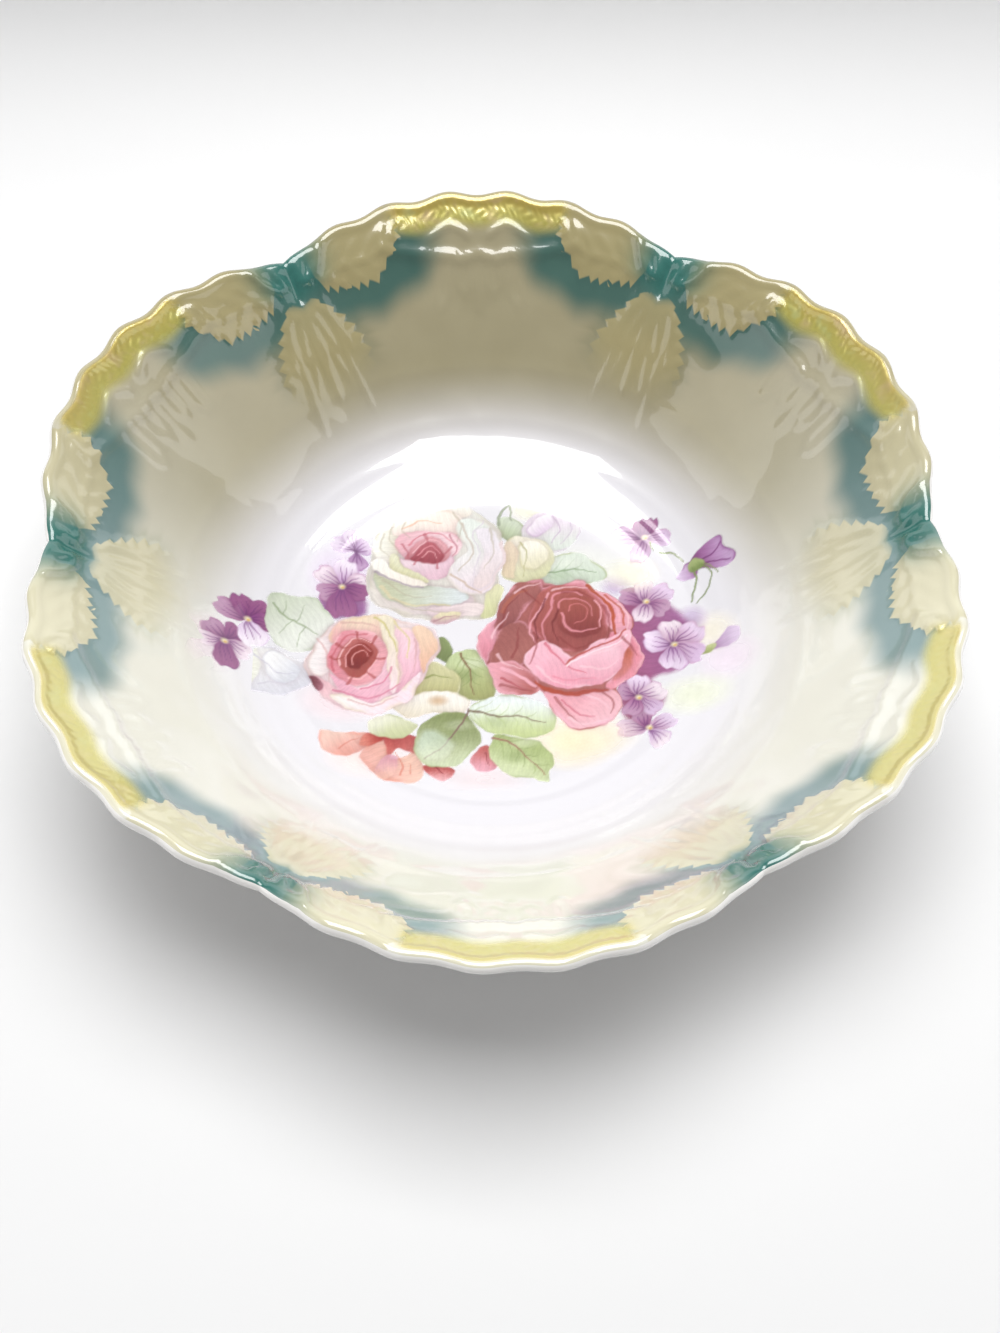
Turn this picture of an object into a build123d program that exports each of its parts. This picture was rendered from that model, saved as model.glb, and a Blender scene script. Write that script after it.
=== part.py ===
"""Lobed porcelain serving bowl on a foot ring, with its glaze coats, fired transfers and lustre bands.

The bowl stands on the XY plane with its axis on +Z. It has six lobes, and a notch between each two.
One notch lies on +X. All sizes are in millimetres.
"""

import os
from math import cos, hypot, pi, radians, sin

from build123d import *

# Rim, seen from above
lobes = 6
notch_radius = 122.0  # axis to the bottom of a notch
notch_height = 64.9
crown_reach = 9.0  # how much further out a lobe's crown is
crown_power = 1.84  # how full a lobe is: 2 is a parabola
scallop_height = 0.7  # small waves along each lobe's edge
scallops = 7  # waves in one lobe

# Wall, seen from the side: the visible inner surface as (radius, height)
inner_profile = [
    (50.0, 12.0),
    (65.0, 15.0),
    (75.0, 20.0),
    (85.0, 27.0),
    (95.0, 37.0),
    (105.0, 47.0),
    (115.0, 57.0),
    (notch_radius, notch_height),
    (131.0, 71.5),
    (142.0, 78.0),
]
flute_start = 60.0  # radius where the lobes begin to show in the wall
flute_depth = 2.0  # how much a lobe bulges at the rim

# Clay, glaze and colour
floor_thickness = 5.7
rim_thickness = 3.0
glaze_thickness = 0.3
print_thickness = 0.2  # thickness given to a fired transfer or lustre film

# Foot ring
foot_height = 6.0
foot_outer_radius = 52.0
foot_inner_radius = 46.5
foot_base_radius = 54.0  # flat underside that the ring is luted to
foot_edge_rounding = 1.2

# Printed transfers on the floor: flowers as (x, y, radius), leaves as (x, y, length, width, turn)
roses = [(-17.0, 31.0, 20.0), (-43.0, -8.0, 18.0), (24.0, -6.0, 25.0)]
rose_leaves = [
    (-4.0, -12.0, 34.0, 16.0, 80.0),
    (-14.0, -35.0, 34.0, 16.0, 10.0),
    (8.0, -36.0, 26.0, 12.0, 100.0),
    (18.0, 33.0, 30.0, 18.0, 60.0),
]
violets = [(-75.0, 0.0, 11.0), (56.0, 32.0, 12.0), (61.0, 5.0, 12.0), (47.0, -36.0, 8.0)]

# Lustre bands on the rim
lustre_half_angle = 13.0  # degrees of rim each side of a lobe's crown
lustre_width = 8.0
lustre_steps = 12

lobe_angle = 360 / lobes
rim_steps = 4 * scallops  # points along one lobe's edge
ring_points = 6 * lobes  # points round one level ring of the wall


def offset_profile(profile, distance_at_floor, distance_at_rim):
    """The profile moved off the wall, square to it, outwards where the distance is positive."""
    first_radius, last_radius = profile[0][0], profile[-1][0]
    moved = []
    for index, (radius, height) in enumerate(profile):
        share = (radius - first_radius) / (last_radius - first_radius)
        distance = distance_at_floor + (distance_at_rim - distance_at_floor) * share
        before = profile[max(index - 1, 0)]
        after = profile[min(index + 1, len(profile) - 1)]
        run, rise = after[0] - before[0], after[1] - before[1]
        if index == 0:
            run, rise = 1.0, 0.0
        length = hypot(run, rise)
        moved.append((radius + distance * rise / length, height - distance * run / length))
    return moved


def lobed_ring(radius):
    """Points of one level ring of the wall, which bulges in each lobe above the wall's foot."""
    reach = max(0.0, radius - flute_start) / (notch_radius - flute_start)
    bulge = flute_depth * reach**1.5
    points = []
    for index in range(ring_points):
        angle = 2 * pi * index / ring_points
        ring_radius = radius - bulge / 2 * cos(lobes * angle)
        points.append((ring_radius * cos(angle), ring_radius * sin(angle)))
    return points


def lobed_form(profile, mode):
    """Loft the solid under a profile: everything inside that surface, from its floor up."""
    sections = []
    for radius, height in profile:
        with BuildSketch(Plane.XY.offset(height)) as section:
            with BuildLine():
                Spline(*lobed_ring(radius), periodic=True)
            make_face()
        sections.append(section.sketch.faces()[0])
    loft(sections, mode=mode)


def rim_radius(offset_angle):
    """Radius of the rim at an angle from a lobe's crown, in degrees."""
    share = abs(offset_angle) / (lobe_angle / 2)
    crown = crown_reach * (1 - share**crown_power)
    scallop = scallop_height * cos(scallops * pi * share) * (1 - share**4)
    return notch_radius + crown - scallop


def rim_edge(lobe, start, end, steps, inset=0.0):
    """Points along one lobe's rim between two angles from its crown."""
    points = []
    for step in range(steps + 1):
        offset_angle = start + (end - start) * step / steps
        angle = radians(lobe_angle * (lobe + 0.5) + offset_angle)
        radius = rim_radius(offset_angle) - inset
        points.append((radius * cos(angle), radius * sin(angle)))
    return points


def trim_to_rim():
    """Cut the wall off at the rim's outline, which also sets how high each part of the rim is."""
    with BuildSketch() as outline:
        with BuildLine():
            for lobe in range(lobes):
                Spline(*rim_edge(lobe, -lobe_angle / 2, lobe_angle / 2, rim_steps))
        make_face()
    extrude(outline.sketch, amount=2 * notch_height, mode=Mode.INTERSECT)


def colour_film():
    """The thin film on the inner glaze that transfers and lustre are cut from."""
    lobed_form(glaze_face, Mode.ADD)
    lobed_form(film_face, Mode.SUBTRACT)


os.makedirs("parts", exist_ok=True)
glaze_face = inner_profile
film_face = offset_profile(inner_profile, -print_thickness, -print_thickness)
clay_inside = offset_profile(inner_profile, glaze_thickness, glaze_thickness)
clay_outside = offset_profile(clay_inside, floor_thickness, rim_thickness)
clay_outside[0] = (foot_base_radius, foot_height)
glaze_outside = offset_profile(clay_outside, glaze_thickness, glaze_thickness)
glaze_outside[0] = (foot_base_radius + glaze_thickness, foot_height)

# The cast clay: wall and floor in one
with BuildPart() as bowl_shell:
    lobed_form(clay_outside, Mode.ADD)
    lobed_form(clay_inside, Mode.SUBTRACT)
    trim_to_rim()
bowl_shell.part.label = "bowl_shell"
export_step(bowl_shell.part, "parts/bowl_shell.step")

# The turned ring that the bowl stands on
with BuildPart() as foot_ring:
    with BuildSketch(Plane.XZ):
        with Locations(((foot_inner_radius + foot_outer_radius) / 2, foot_height / 2)):
            Rectangle(foot_outer_radius - foot_inner_radius, foot_height)
    revolve(axis=Axis.Z)
    fillet(foot_ring.faces().sort_by(Axis.Z)[0].edges(), foot_edge_rounding)
foot_ring.part.label = "foot_ring"
export_step(foot_ring.part, "parts/foot_ring.step")

# The clear coat inside, from rim to rim across the floor
with BuildPart() as inner_glaze:
    lobed_form(clay_inside, Mode.ADD)
    lobed_form(glaze_face, Mode.SUBTRACT)
    trim_to_rim()
inner_glaze.part.label = "inner_glaze"
export_step(inner_glaze.part, "parts/inner_glaze.step")

# The clear coat outside, from the rim down to the foot ring
with BuildPart() as outer_glaze:
    lobed_form(glaze_outside, Mode.ADD)
    lobed_form(clay_outside, Mode.SUBTRACT)
    trim_to_rim()
outer_glaze.part.label = "outer_glaze"
export_step(outer_glaze.part, "parts/outer_glaze.step")

# The printed roses and their leaves, one sheet of the transfer
with BuildPart() as rose_transfer:
    colour_film()
    with BuildSketch() as rose_outline:
        for x, y, radius in roses:
            with Locations((x, y)):
                Circle(radius)
        for x, y, length, width, turn in rose_leaves:
            with Locations(Location((x, y, 0), (0, 0, turn))):
                Ellipse(length / 2, width / 2)
    extrude(rose_outline.sketch, amount=notch_height, mode=Mode.INTERSECT)
rose_transfer.part.label = "rose_transfer"
export_step(rose_transfer.part, "parts/rose_transfer.step")

# The violets, cut out and laid beside the roses
with BuildPart() as violet_transfers:
    colour_film()
    with BuildSketch() as violet_outline:
        for x, y, radius in violets:
            with Locations((x, y)):
                Circle(radius)
    extrude(violet_outline.sketch, amount=notch_height, mode=Mode.INTERSECT)
violet_transfers.part.label = "violet_transfers"
export_step(violet_transfers.part, "parts/violet_transfers.step")

# The lustre, brushed on the inside of the rim, a band on each lobe
with BuildPart() as rim_lustre:
    colour_film()
    with BuildSketch() as lustre_outline:
        for lobe in range(lobes):
            rim_side = rim_edge(lobe, -lustre_half_angle, lustre_half_angle, lustre_steps)
            wall_side = rim_edge(lobe, -lustre_half_angle, lustre_half_angle, lustre_steps, lustre_width)
            with BuildLine():
                Spline(*rim_side)
                Spline(*wall_side)
                Line(rim_side[0], wall_side[0])
                Line(rim_side[-1], wall_side[-1])
            make_face()
    extrude(lustre_outline.sketch, amount=2 * notch_height, mode=Mode.INTERSECT)
rim_lustre.part.label = "rim_lustre"
export_step(rim_lustre.part, "parts/rim_lustre.step")
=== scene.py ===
"""The looks of a lobed porcelain serving bowl: leaf relief, printed roses and violets, and a lustred rim."""

import math

import bmesh
import bpy
import numpy as np
from mathutils import Matrix, Vector


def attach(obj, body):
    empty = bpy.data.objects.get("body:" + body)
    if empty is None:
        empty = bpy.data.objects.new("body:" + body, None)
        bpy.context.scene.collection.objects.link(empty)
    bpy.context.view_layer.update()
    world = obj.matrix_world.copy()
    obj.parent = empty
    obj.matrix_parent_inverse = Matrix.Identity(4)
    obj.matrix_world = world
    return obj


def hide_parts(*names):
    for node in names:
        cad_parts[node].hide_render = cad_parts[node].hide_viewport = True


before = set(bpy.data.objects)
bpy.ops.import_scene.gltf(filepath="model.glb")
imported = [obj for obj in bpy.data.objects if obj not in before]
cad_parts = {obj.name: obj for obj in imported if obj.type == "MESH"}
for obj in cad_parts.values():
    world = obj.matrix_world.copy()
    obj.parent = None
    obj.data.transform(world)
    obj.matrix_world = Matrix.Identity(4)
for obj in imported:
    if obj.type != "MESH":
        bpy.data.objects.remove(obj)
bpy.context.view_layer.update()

# ---------------------------------------------------------------- camera
# A hand-held view down into the bowl, a little to the left of its axis and slightly turned.
# Lengths in this file are millimetres, and mm turns them into metres.
mm = 0.001
notch_radius = 122.0
notch_height = 64.9
camera_azimuth, camera_elevation = math.radians(-3.85), math.radians(52.56)
camera_distance = 3.801 * notch_radius
camera_roll = math.radians(2.25)
aim = Vector((-0.004 * notch_radius, -0.369 * notch_radius, notch_height))


def put_in_scene(name, data):
    """Give a mesh, a light or the camera an object in the scene."""
    holder = bpy.data.objects.new(name, data)
    bpy.context.scene.collection.objects.link(holder)
    return holder


eye = Vector((0, 0, notch_height)) + camera_distance * Vector((
    math.sin(camera_azimuth) * math.cos(camera_elevation),
    -math.cos(camera_azimuth) * math.cos(camera_elevation),
    math.sin(camera_elevation),
))
forward = (aim - eye).normalized()
right = forward.cross(Vector((0, 0, 1))).normalized()
up = right.cross(forward)
turned_right = right * math.cos(camera_roll) + up * math.sin(camera_roll)
turned_up = up * math.cos(camera_roll) - right * math.sin(camera_roll)
camera = put_in_scene("camera", bpy.data.cameras.new("camera"))
turned = Matrix((turned_right, turned_up, -forward)).transposed().to_4x4()
camera.matrix_world = Matrix.Translation(eye * mm) @ turned
camera.data.lens = 44.4
camera.data.sensor_width = 36
camera.data.clip_start = 0.02
bpy.context.scene.camera = camera

# ---------------------------------------------------------------- glazed bowl
# One casting of hard porcelain, with the leaves and scrolls of its mould in the inner wall.
# It is glazed inside and out, with the sprayed teal and tan grounds under the inside glaze, painted paler
# and creamier towards one side as a painted sheen.
lobes = 6
half_lobe = 30.0
crown_reach, crown_power = 9.0, 1.84
scallops, scallop_height = 7, 0.7
flute_start, flute_depth = 60.0, 2.0
lobe_start, lobe_full = 62, 97  # rows between which the wall takes on the rim's outline
wall_profile = np.array(
    [
        (0, 11.6), (50, 12), (65, 15), (75, 20), (85, 27), (95, 37),
        (105, 47), (115, 57), (122, 64.9), (131, 71.5), (142, 78), (150, 83),
    ]
)
lip_thickness, floor_thickness = 3.2, 5.7
foot_height, foot_base_radius = 6.0, 54.0

profile_step = 0.5
profile_radii = np.arange(0, 150, profile_step)
profile_heights = np.interp(profile_radii, *wall_profile.T)
# the profile's corners are rounded by averaging it over a few millimetres
bend_width, bend_steps = 3.2, 16
softening = np.exp(-((np.arange(-bend_steps, bend_steps + 1) * profile_step / bend_width) ** 2))
profile_heights = np.convolve(
    np.pad(profile_heights, bend_steps, mode="edge"), softening / softening.sum(), "valid"
)


def notch_offset(angle):
    """Degrees from the nearest notch, 0 at a notch and 30 at a lobe's crown."""
    turned = np.degrees(angle) % (2 * half_lobe)
    return np.minimum(turned, 2 * half_lobe - turned)


def rim_radius(angle):
    """How far the rim is from the axis."""
    share = 1 - notch_offset(angle) / half_lobe
    crown = crown_reach * (1 - share**crown_power)
    return notch_radius + crown - scallop_height * np.cos(scallops * np.pi * share) * (1 - share**4)


def ease(value, start, end):
    """0 before start, 1 after end and a smooth turn between."""
    share = np.clip((value - start) / (end - start), 0, 1)
    return share * share * (3 - 2 * share)


def wall_frame(angle, row_radius):
    """Radius, height and slope of the plain inner wall where a row of the mesh crosses an angle."""
    radius = row_radius + (rim_radius(angle) - notch_radius) * ease(row_radius, lobe_start, lobe_full)
    reach = np.clip((radius - flute_start) / (notch_radius - flute_start), 0, None)
    flat_radius = radius + flute_depth / 2 * reach**1.5 * np.cos(lobes * angle)
    height = np.interp(flat_radius, profile_radii, profile_heights)
    slope = (
        np.interp(flat_radius + 1, profile_radii, profile_heights)
        - np.interp(flat_radius - 1, profile_radii, profile_heights)
    ) / 2
    return radius, height, slope


def row_through(angle, radius, rounds):
    """The row of the mesh that crosses an angle at a radius, found by rounds of correction."""
    row = radius.copy()
    for _ in range(rounds):
        row -= row + (rim_radius(angle) - notch_radius) * ease(row, lobe_start, lobe_full) - radius
    return row


def ridge(across, down, points, width, height):
    """A rounded ridge along a line of points, given as (degrees, millimetres down from the rim)."""
    line = np.array(points, float)
    line[:, 0] = np.radians(line[:, 0]) * (notch_radius - line[:, 1])
    nearest = np.full(across.shape, 1e9)
    for start, end in zip(line[:-1], line[1:]):
        run = end - start
        share = ((across - start[0]) * run[0] + (down - start[1]) * run[1]) / (run @ run)
        share = np.clip(share, 0, 1)
        gap = np.hypot(across - start[0] - share * run[0], down - start[1] - share * run[1])
        nearest = np.minimum(nearest, gap)
    return height * np.exp(-((nearest / width) ** 2))


def big_leaf_edge(down):
    """Half width of the leaf under a notch, with its saw teeth pointing down."""
    body = np.interp(down, [7, 9, 12, 16, 20, 24, 28, 32, 36], [1.5, 4.6, 8, 10.6, 12.6, 14.2, 14.6, 13, 8])
    return body + np.interp(down, [8, 18, 30], [1.0, 2.2, 2.8]) * ((down / 3.5) % 1.0) - 1.0


def side_leaf_inside(offset, across, down):
    """How far inside a side leaf's saw-toothed edge a place is, in millimetres."""
    lower = np.interp(offset, [3.5, 5, 7, 9, 12, 14, 16, 18], [7, 9.5, 12, 13.4, 13.8, 13.2, 11.2, 8.6])
    lower = lower + 2.2 * ((offset / 1.7) % 1.0) ** 1.3 - 1.0
    outer = np.interp(down, [0, 4, 8, 12], [16.0, 16.8, 17.4, 16.4]) + 1.3 * ((down / 3.2 + 0.4) % 1.0)
    return np.minimum.reduce([lower - down, (outer - offset) * 2.0, (offset - 3.2) * 2.0])


def relief(angle, radius):
    """Height of the moulded relief over the plain wall, in millimetres."""
    offset = notch_offset(angle)
    down = rim_radius(angle) - radius
    local = np.pi / 180 * (notch_radius - down)
    across = offset * local
    from_crown = (half_lobe - offset) * local
    raised = 0.45 * np.exp(-(((down - 0.6) / 1.1) ** 2))
    # scrolls below the rim band, and the pendant loops that they end in
    scroll = [(0, 12.6), (3, 15.0), (6, 13.4), (8, 11.6), (11, 11.2), (13.5, 10.4), (15.2, 7.6), (14.6, 4.6)]
    raised += ridge(from_crown, down, scroll, 1.35, 0.75)
    raised += ridge(from_crown, down, [(12.6, 5.2), (13.6, 6.6), (12.6, 7.6)], 0.9, 0.6)
    for middle, low in ((2.6, 22.5), (6.4, 24.5)):
        left, right = middle - 1.1, middle + 1.1
        loop = [(left, 14), (left, low - 2), (middle, low), (right, low - 2), (right, 14)]
        raised += ridge(from_crown, down, loop, 1.2, 0.28)
    raised += ridge(from_crown, down, [(0, 14), (0, 25)], 1.2, 0.26)
    raised += ridge(from_crown, down, [(1.6, 9.2), (4.2, 7.6), (7.5, 8.8)], 0.9, 0.55)
    # the volutes that pinch each notch
    raised += ridge(across, down, [(5.6, 0.8), (4.6, 3.4), (2.6, 5.6), (1.2, 4.4), (1.9, 2.6)], 1.1, 1.1)
    raised += ridge(across, down, [(0, -1), (0, 7.5)], 1.0, -0.8)
    # the leaf under a notch, with folds like feathers, and the two ribs beside it
    inside = big_leaf_edge(down) - across
    raised += 0.38 * ease(inside, -0.9, 1.8) * ease(down, 7, 11) * ease(down, 34, 24)
    raised += ridge(across, down, [(0, 9), (0.6, 20), (0, 30)], 1.0, 0.26)
    raised += ridge(across, down, [(1.2, 12), (2.6, 19), (3.2, 22)], 0.9, 0.24)
    raised += ridge(across, down, [(2.4, 11), (4.6, 16), (5.8, 24)], 0.9, 0.2)
    raised += ridge(across, down, [(1.8, 21), (3.6, 30)], 1.0, 0.22)
    rib = ridge(across, down, [(5.2, 1.5), (3.7, 10), (4.6, 27), (6.6, 42)], 0.9, 0.22)
    raised += rib * ease(down, 43, 34)
    # the side leaves, with their midribs
    leaf = side_leaf_inside(offset, across, down)
    raised += 0.35 * ease(leaf, -0.5, 1.4)
    raised += ridge(across, down, [(4, 7), (10, 8.6), (15.5, 8)], 0.7, 0.35)
    for start, low in ((7, 11.6), (10, 12.2), (13, 11.4)):
        raised += ridge(across, down, [(start - 1.5, 8), (start + 0.8, low)], 0.6, 0.25)
        raised += ridge(across, down, [(start - 1.0, 7.6), (start + 1.6, 3.6)], 0.6, 0.22)
    # turned lines at the wall's foot and on the floor
    for line, rise in ((92, 0.16), (79, 0.1), (71, 0.1), (65, 0.16), (58, 0.1)):
        raised += rise * np.exp(-(((radius - line) / 1.3) ** 2))
    # the slow ripples that the glaze and the drying clay leave in the wall
    ripple = np.sin(0.21 * across + 0.9 * np.sin(0.17 * down) + 2.0 * np.sin(2 * angle))
    ripple = ripple * np.sin(0.27 * down + 1.1 * np.sin(0.13 * across + 3 * angle))
    raised += 0.16 * ripple * ease(radius, 70, 90)
    return raised


def wall_point(angle, row_radius, sunk=0.0, over=0.0, moulded=1.0):
    """Places on the wall in metres: sunk goes into the clay and over goes past the rim along the wall."""
    radius, height, slope = wall_frame(angle, row_radius)
    length = np.sqrt(1 + slope**2)
    lift = relief(angle, radius) * moulded - sunk
    out = radius - lift * slope / length + over / length
    rise = height + lift / length + over * slope / length
    return np.stack([out * np.cos(angle), out * np.sin(angle), rise], -1) * mm


ring_steps = 720
inside_rows = [0, 12, 24, 32, 37, *np.linspace(40, 50, 7), *np.linspace(51.4, notch_radius, 84)]
lip_turns = np.radians([30, 65, 100, 135, 165])
outside_rows = np.linspace(notch_radius - 1.5, foot_base_radius + 5, 13)
base_rows = [foot_base_radius, 48, 30, 0]
rows = [(radius, 0.0, 0.0, 1.0) for radius in inside_rows]
for turn in lip_turns:
    sunk = lip_thickness / 2 * (1 - math.cos(turn))
    rows.append((notch_radius, sunk, lip_thickness / 2 * math.sin(turn), max(0.0, math.cos(turn))))
for radius in outside_rows:
    share = (notch_radius - radius) / (notch_radius - foot_base_radius)
    rows.append((radius, lip_thickness + (floor_thickness - lip_thickness) * share**1.5, 0.0, 0.0))
first_base_row = len(rows)
rows += [(radius, 0.0, 0.0, 0.0) for radius in base_rows]


def spin_round(shape, steps):
    """Turn an outline once round the bowl's axis."""
    bmesh.ops.spin(
        shape, geom=shape.verts[:] + shape.edges[:], axis=(0, 0, 1), cent=(0, 0, 0),
        angle=math.tau, steps=steps, use_merge=True,
    )
    bmesh.ops.remove_doubles(shape, verts=shape.verts, dist=1e-6)


def finish_piece(name, shape):
    """Turn a finished shape into a smooth object."""
    for face in shape.faces:
        face.smooth = True
    mesh = bpy.data.meshes.new(name)
    shape.to_mesh(mesh)
    shape.free()
    return put_in_scene(name, mesh)


body = bmesh.new()
row_layer = body.verts.layers.float.new("row")
previous = None
for index, row in enumerate(rows):
    corner = body.verts.new((row[0] * mm, 0, -index * mm))
    corner[row_layer] = index
    if previous:
        body.edges.new((previous, corner))
    previous = corner
spin_round(body, ring_steps)
row_index = np.array([round(corner[row_layer]) for corner in body.verts])
angles = np.array([math.atan2(corner.co.y, corner.co.x) for corner in body.verts])
row_radius, sunk, over, moulded = np.array(rows)[row_index].T
places = wall_point(angles, row_radius, sunk, over, moulded)
on_base = row_index >= first_base_row
places[on_base, 0] = row_radius[on_base] * np.cos(angles[on_base]) * mm
places[on_base, 1] = row_radius[on_base] * np.sin(angles[on_base]) * mm
places[on_base, 2] = foot_height * mm
for corner, place in zip(body.verts, places):
    corner.co = place
bmesh.ops.recalc_face_normals(body, faces=body.faces)
last_inside_row = len(inside_rows) + 1
for face in body.faces:
    face.material_index = int(min(corner[row_layer] for corner in face.verts) >= last_inside_row)
bowl = finish_piece("glazed_bowl", body)
bowl_mesh = bowl.data


def store(mesh, name, values):
    """Keep one number for each corner point of a mesh, for its material to read."""
    layer = mesh.attributes.new(name, "FLOAT", "POINT")
    layer.data.foreach_set("value", np.asarray(values, np.float32))


def painted_sheen_side(angle):
    """How much of the painted sheen a place gets: the colours are painted paler towards the bowl's -y side.
    """
    return ease(-np.sin(angle), -0.72, 0.3)


plain_radius = wall_frame(angles, row_radius)[0]
offset = notch_offset(angles)
down = rim_radius(angles) - plain_radius
across = offset * np.pi / 180 * (notch_radius - down)
big_leaf = np.minimum(big_leaf_edge(down) - across, (down - 8.5) * 0.8)
side_leaf = side_leaf_inside(offset, across, down)
leaf_shade = 0.9 * ease(down, 34, 22) * ease(down, 6.5, 11)
teal_foot = np.interp(offset, [0, 5, 8, 13, 18, 22, 26], [17, 19, 21.5, 22.5, 21.5, 18.5, 13])
teal_low = ease(down, teal_foot + 2.5, teal_foot - 5.5) * ease(offset, 26.5, 19.5) * ease(down, 1, 5)
# painted shade: an olive darkening round the big leaf's edge, for the shade beside it
painted_shade_beside_leaf = 0.45 * np.exp(-((big_leaf / 3.2) ** 2)) * ease(down, 34, 24) * ease(down, 12, 20)
teal_notch = np.exp(-((offset / 5.6) ** 3)) * ease(down, 10.5, 5)
store(bowl_mesh, "big_leaf", big_leaf)
store(bowl_mesh, "side_leaf", side_leaf)
store(bowl_mesh, "leaf_fade", leaf_shade)
store(bowl_mesh, "teal", teal_low)
store(bowl_mesh, "olive_painted_shade", painted_shade_beside_leaf)
store(bowl_mesh, "teal_notch", teal_notch)
gold = ease(offset, 15.8, 19.0) * ease(down, 8.6, 4.0) * ease(down, -0.3, 0.5)
store(bowl_mesh, "gold", gold)
# painted sheen: the colours are painted paler towards the bowl's -y side
sheen_paleness = painted_sheen_side(angles)
store(bowl_mesh, "sheen_paleness", sheen_paleness)
store(bowl_mesh, "ground", ease(plain_radius, 68 + 3 * sheen_paleness, 94 + 4 * sheen_paleness))


def rgb(code):
    """A hex colour as three shares."""
    return np.array([int(code[place : place + 2], 16) / 255 for place in (0, 2, 4)])


def to_linear(shares):
    """sRGB shares as the linear ones that Blender works in."""
    return np.where(shares <= 0.04045, shares / 12.92, ((shares + 0.055) / 1.055) ** 2.4)


def colour(code):
    """A hex colour as a linear one for a shader's socket."""
    return [*to_linear(rgb(code)), 1.0]


def new_material(name):
    """A material with no nodes yet."""
    material = bpy.data.materials.new(name)
    material.use_nodes = True
    material.node_tree.nodes.clear()
    return material


def add_node(material, kind, inputs=(), **settings):
    """Add one shader node with its settings, and give its inputs values or links."""
    node = material.node_tree.nodes.new("ShaderNode" + kind)
    for name, value in settings.items():
        setattr(node, name, value)
    for key, value in dict(inputs).items():
        if isinstance(value, bpy.types.NodeSocket):
            material.node_tree.links.new(value, node.inputs[key])
        else:
            node.inputs[key].default_value = value
    return node


# Inside glaze: clear, glossy lead-free glaze over colours that were sprayed round stencil leaves.
# It gives crisp leaf edges, soft teal that fades down the wall, and sharp reflections.
inside_glaze = new_material("inside_glaze_over_sprayed_grounds")
place = add_node(inside_glaze, "TexCoord").outputs["Object"]
cloud = add_node(
    inside_glaze, "TexNoise", {"Vector": place, "Scale": 60.0, "Detail": 3.0, "Roughness": 0.55}
).outputs["Fac"]
masks = {}
mask_names = (
    "big_leaf", "side_leaf", "leaf_fade", "teal", "olive_painted_shade", "teal_notch", "gold", "ground", "sheen_paleness",
)
for name in mask_names:
    masks[name] = add_node(inside_glaze, "Attribute", attribute_name=name).outputs["Fac"]
wander = add_node(
    inside_glaze, "MapRange",
    {"Value": cloud, "From Min": 0.3, "From Max": 0.7, "To Min": -0.35, "To Max": 0.35},
).outputs["Result"]


def stencil(name):
    """Coverage of a stencilled leaf: a crisp edge that wanders a little."""
    moved = add_node(inside_glaze, "Math", {0: masks[name], 1: wander}, operation="ADD").outputs[0]
    return add_node(
        inside_glaze, "MapRange", {"Value": moved, "From Min": -0.2, "From Max": 0.5},
        interpolation_type="SMOOTHSTEP",
    ).outputs["Result"]


def sprayed(full, cloudy, sheen_pale, most):
    """A sprayed colour: clouds of two tones, which turn into a pale one by at most a share, as a painted
    sheen on the bowl's -y side.
    """
    tones = add_node(
        inside_glaze, "Mix", {0: cloud, 6: colour(full), 7: colour(cloudy)}, data_type="RGBA"
    ).outputs[2]
    share = add_node(
        inside_glaze, "Math", {0: masks["sheen_paleness"], 1: most}, operation="MULTIPLY"
    ).outputs[0]
    return add_node(
        inside_glaze, "Mix", {0: share, 6: tones, 7: colour(sheen_pale)}, data_type="RGBA"
    ).outputs[2]


leaf_tint = sprayed("a89e74", "9b9066", "efecd2", 0.62)
leaf_cover = add_node(
    inside_glaze, "Math", {0: stencil("big_leaf"), 1: masks["leaf_fade"]}, operation="MULTIPLY"
).outputs[0]
# from the white clay up, each colour over the last
# each sprayed colour below turns paler towards the bowl's -y side, a painted sheen
sprays = (
    (sprayed("a59d80", "9a9274", "f6f6ee", 0.77), masks["ground"]),
    # painted shade beside the big leaf, in olive
    (sprayed("6f7358", "6f7358", "c9cfb4", 0.7), masks["olive_painted_shade"]),
    (sprayed("3b5c55", "4b6d63", "a9bfc4", 0.5), masks["teal"]),
    (leaf_tint, leaf_cover),
    (leaf_tint, stencil("side_leaf")),
    (colour("357068"), masks["teal_notch"]),
    (sprayed("b7a755", "b7a755", "e4dc9c", 0.5), masks["gold"]),
)
paint = colour("e0dee3")
for tint, cover in sprays:
    paint = add_node(
        inside_glaze, "Mix", {0: cover, 6: paint, 7: tint}, data_type="RGBA"
    ).outputs[2]
inside_shader = add_node(
    inside_glaze, "BsdfPrincipled",
    {"Base Color": paint, "Roughness": 0.25, "IOR": 1.5, "Coat Weight": 1.0, "Coat Roughness": 0.03,
     "Coat IOR": 1.6},
)
add_node(inside_glaze, "OutputMaterial", {"Surface": inside_shader.outputs[0]})
bowl_mesh.materials.append(inside_glaze)

# Outside glaze: the same clear glaze over bare white porcelain.
outside_glaze = new_material("outside_glaze_over_white_porcelain")
place = add_node(outside_glaze, "TexCoord").outputs["Object"]
cloud = add_node(outside_glaze, "TexNoise", {"Vector": place, "Scale": 25.0, "Detail": 3.0}).outputs["Fac"]
white = add_node(
    outside_glaze, "Mix", {0: cloud, 6: colour("f3f1ee"), 7: colour("eeece8")}, data_type="RGBA"
).outputs[2]
outside_shader = add_node(
    outside_glaze, "BsdfPrincipled",
    {"Base Color": white, "Roughness": 0.22, "IOR": 1.5, "Coat Weight": 1.0, "Coat Roughness": 0.03},
)
add_node(outside_glaze, "OutputMaterial", {"Surface": outside_shader.outputs[0]})
bowl_mesh.materials.append(outside_glaze)
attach(bowl, "root")
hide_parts("bowl_shell", "inner_glaze", "outer_glaze")

# ---------------------------------------------------------------- rose print
# Three roses with their buds and leaves, printed in enamel colours and fired on the floor.
# Each petal is laid over the last on a fine flat sheet, which is then dropped on the bowl.


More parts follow.
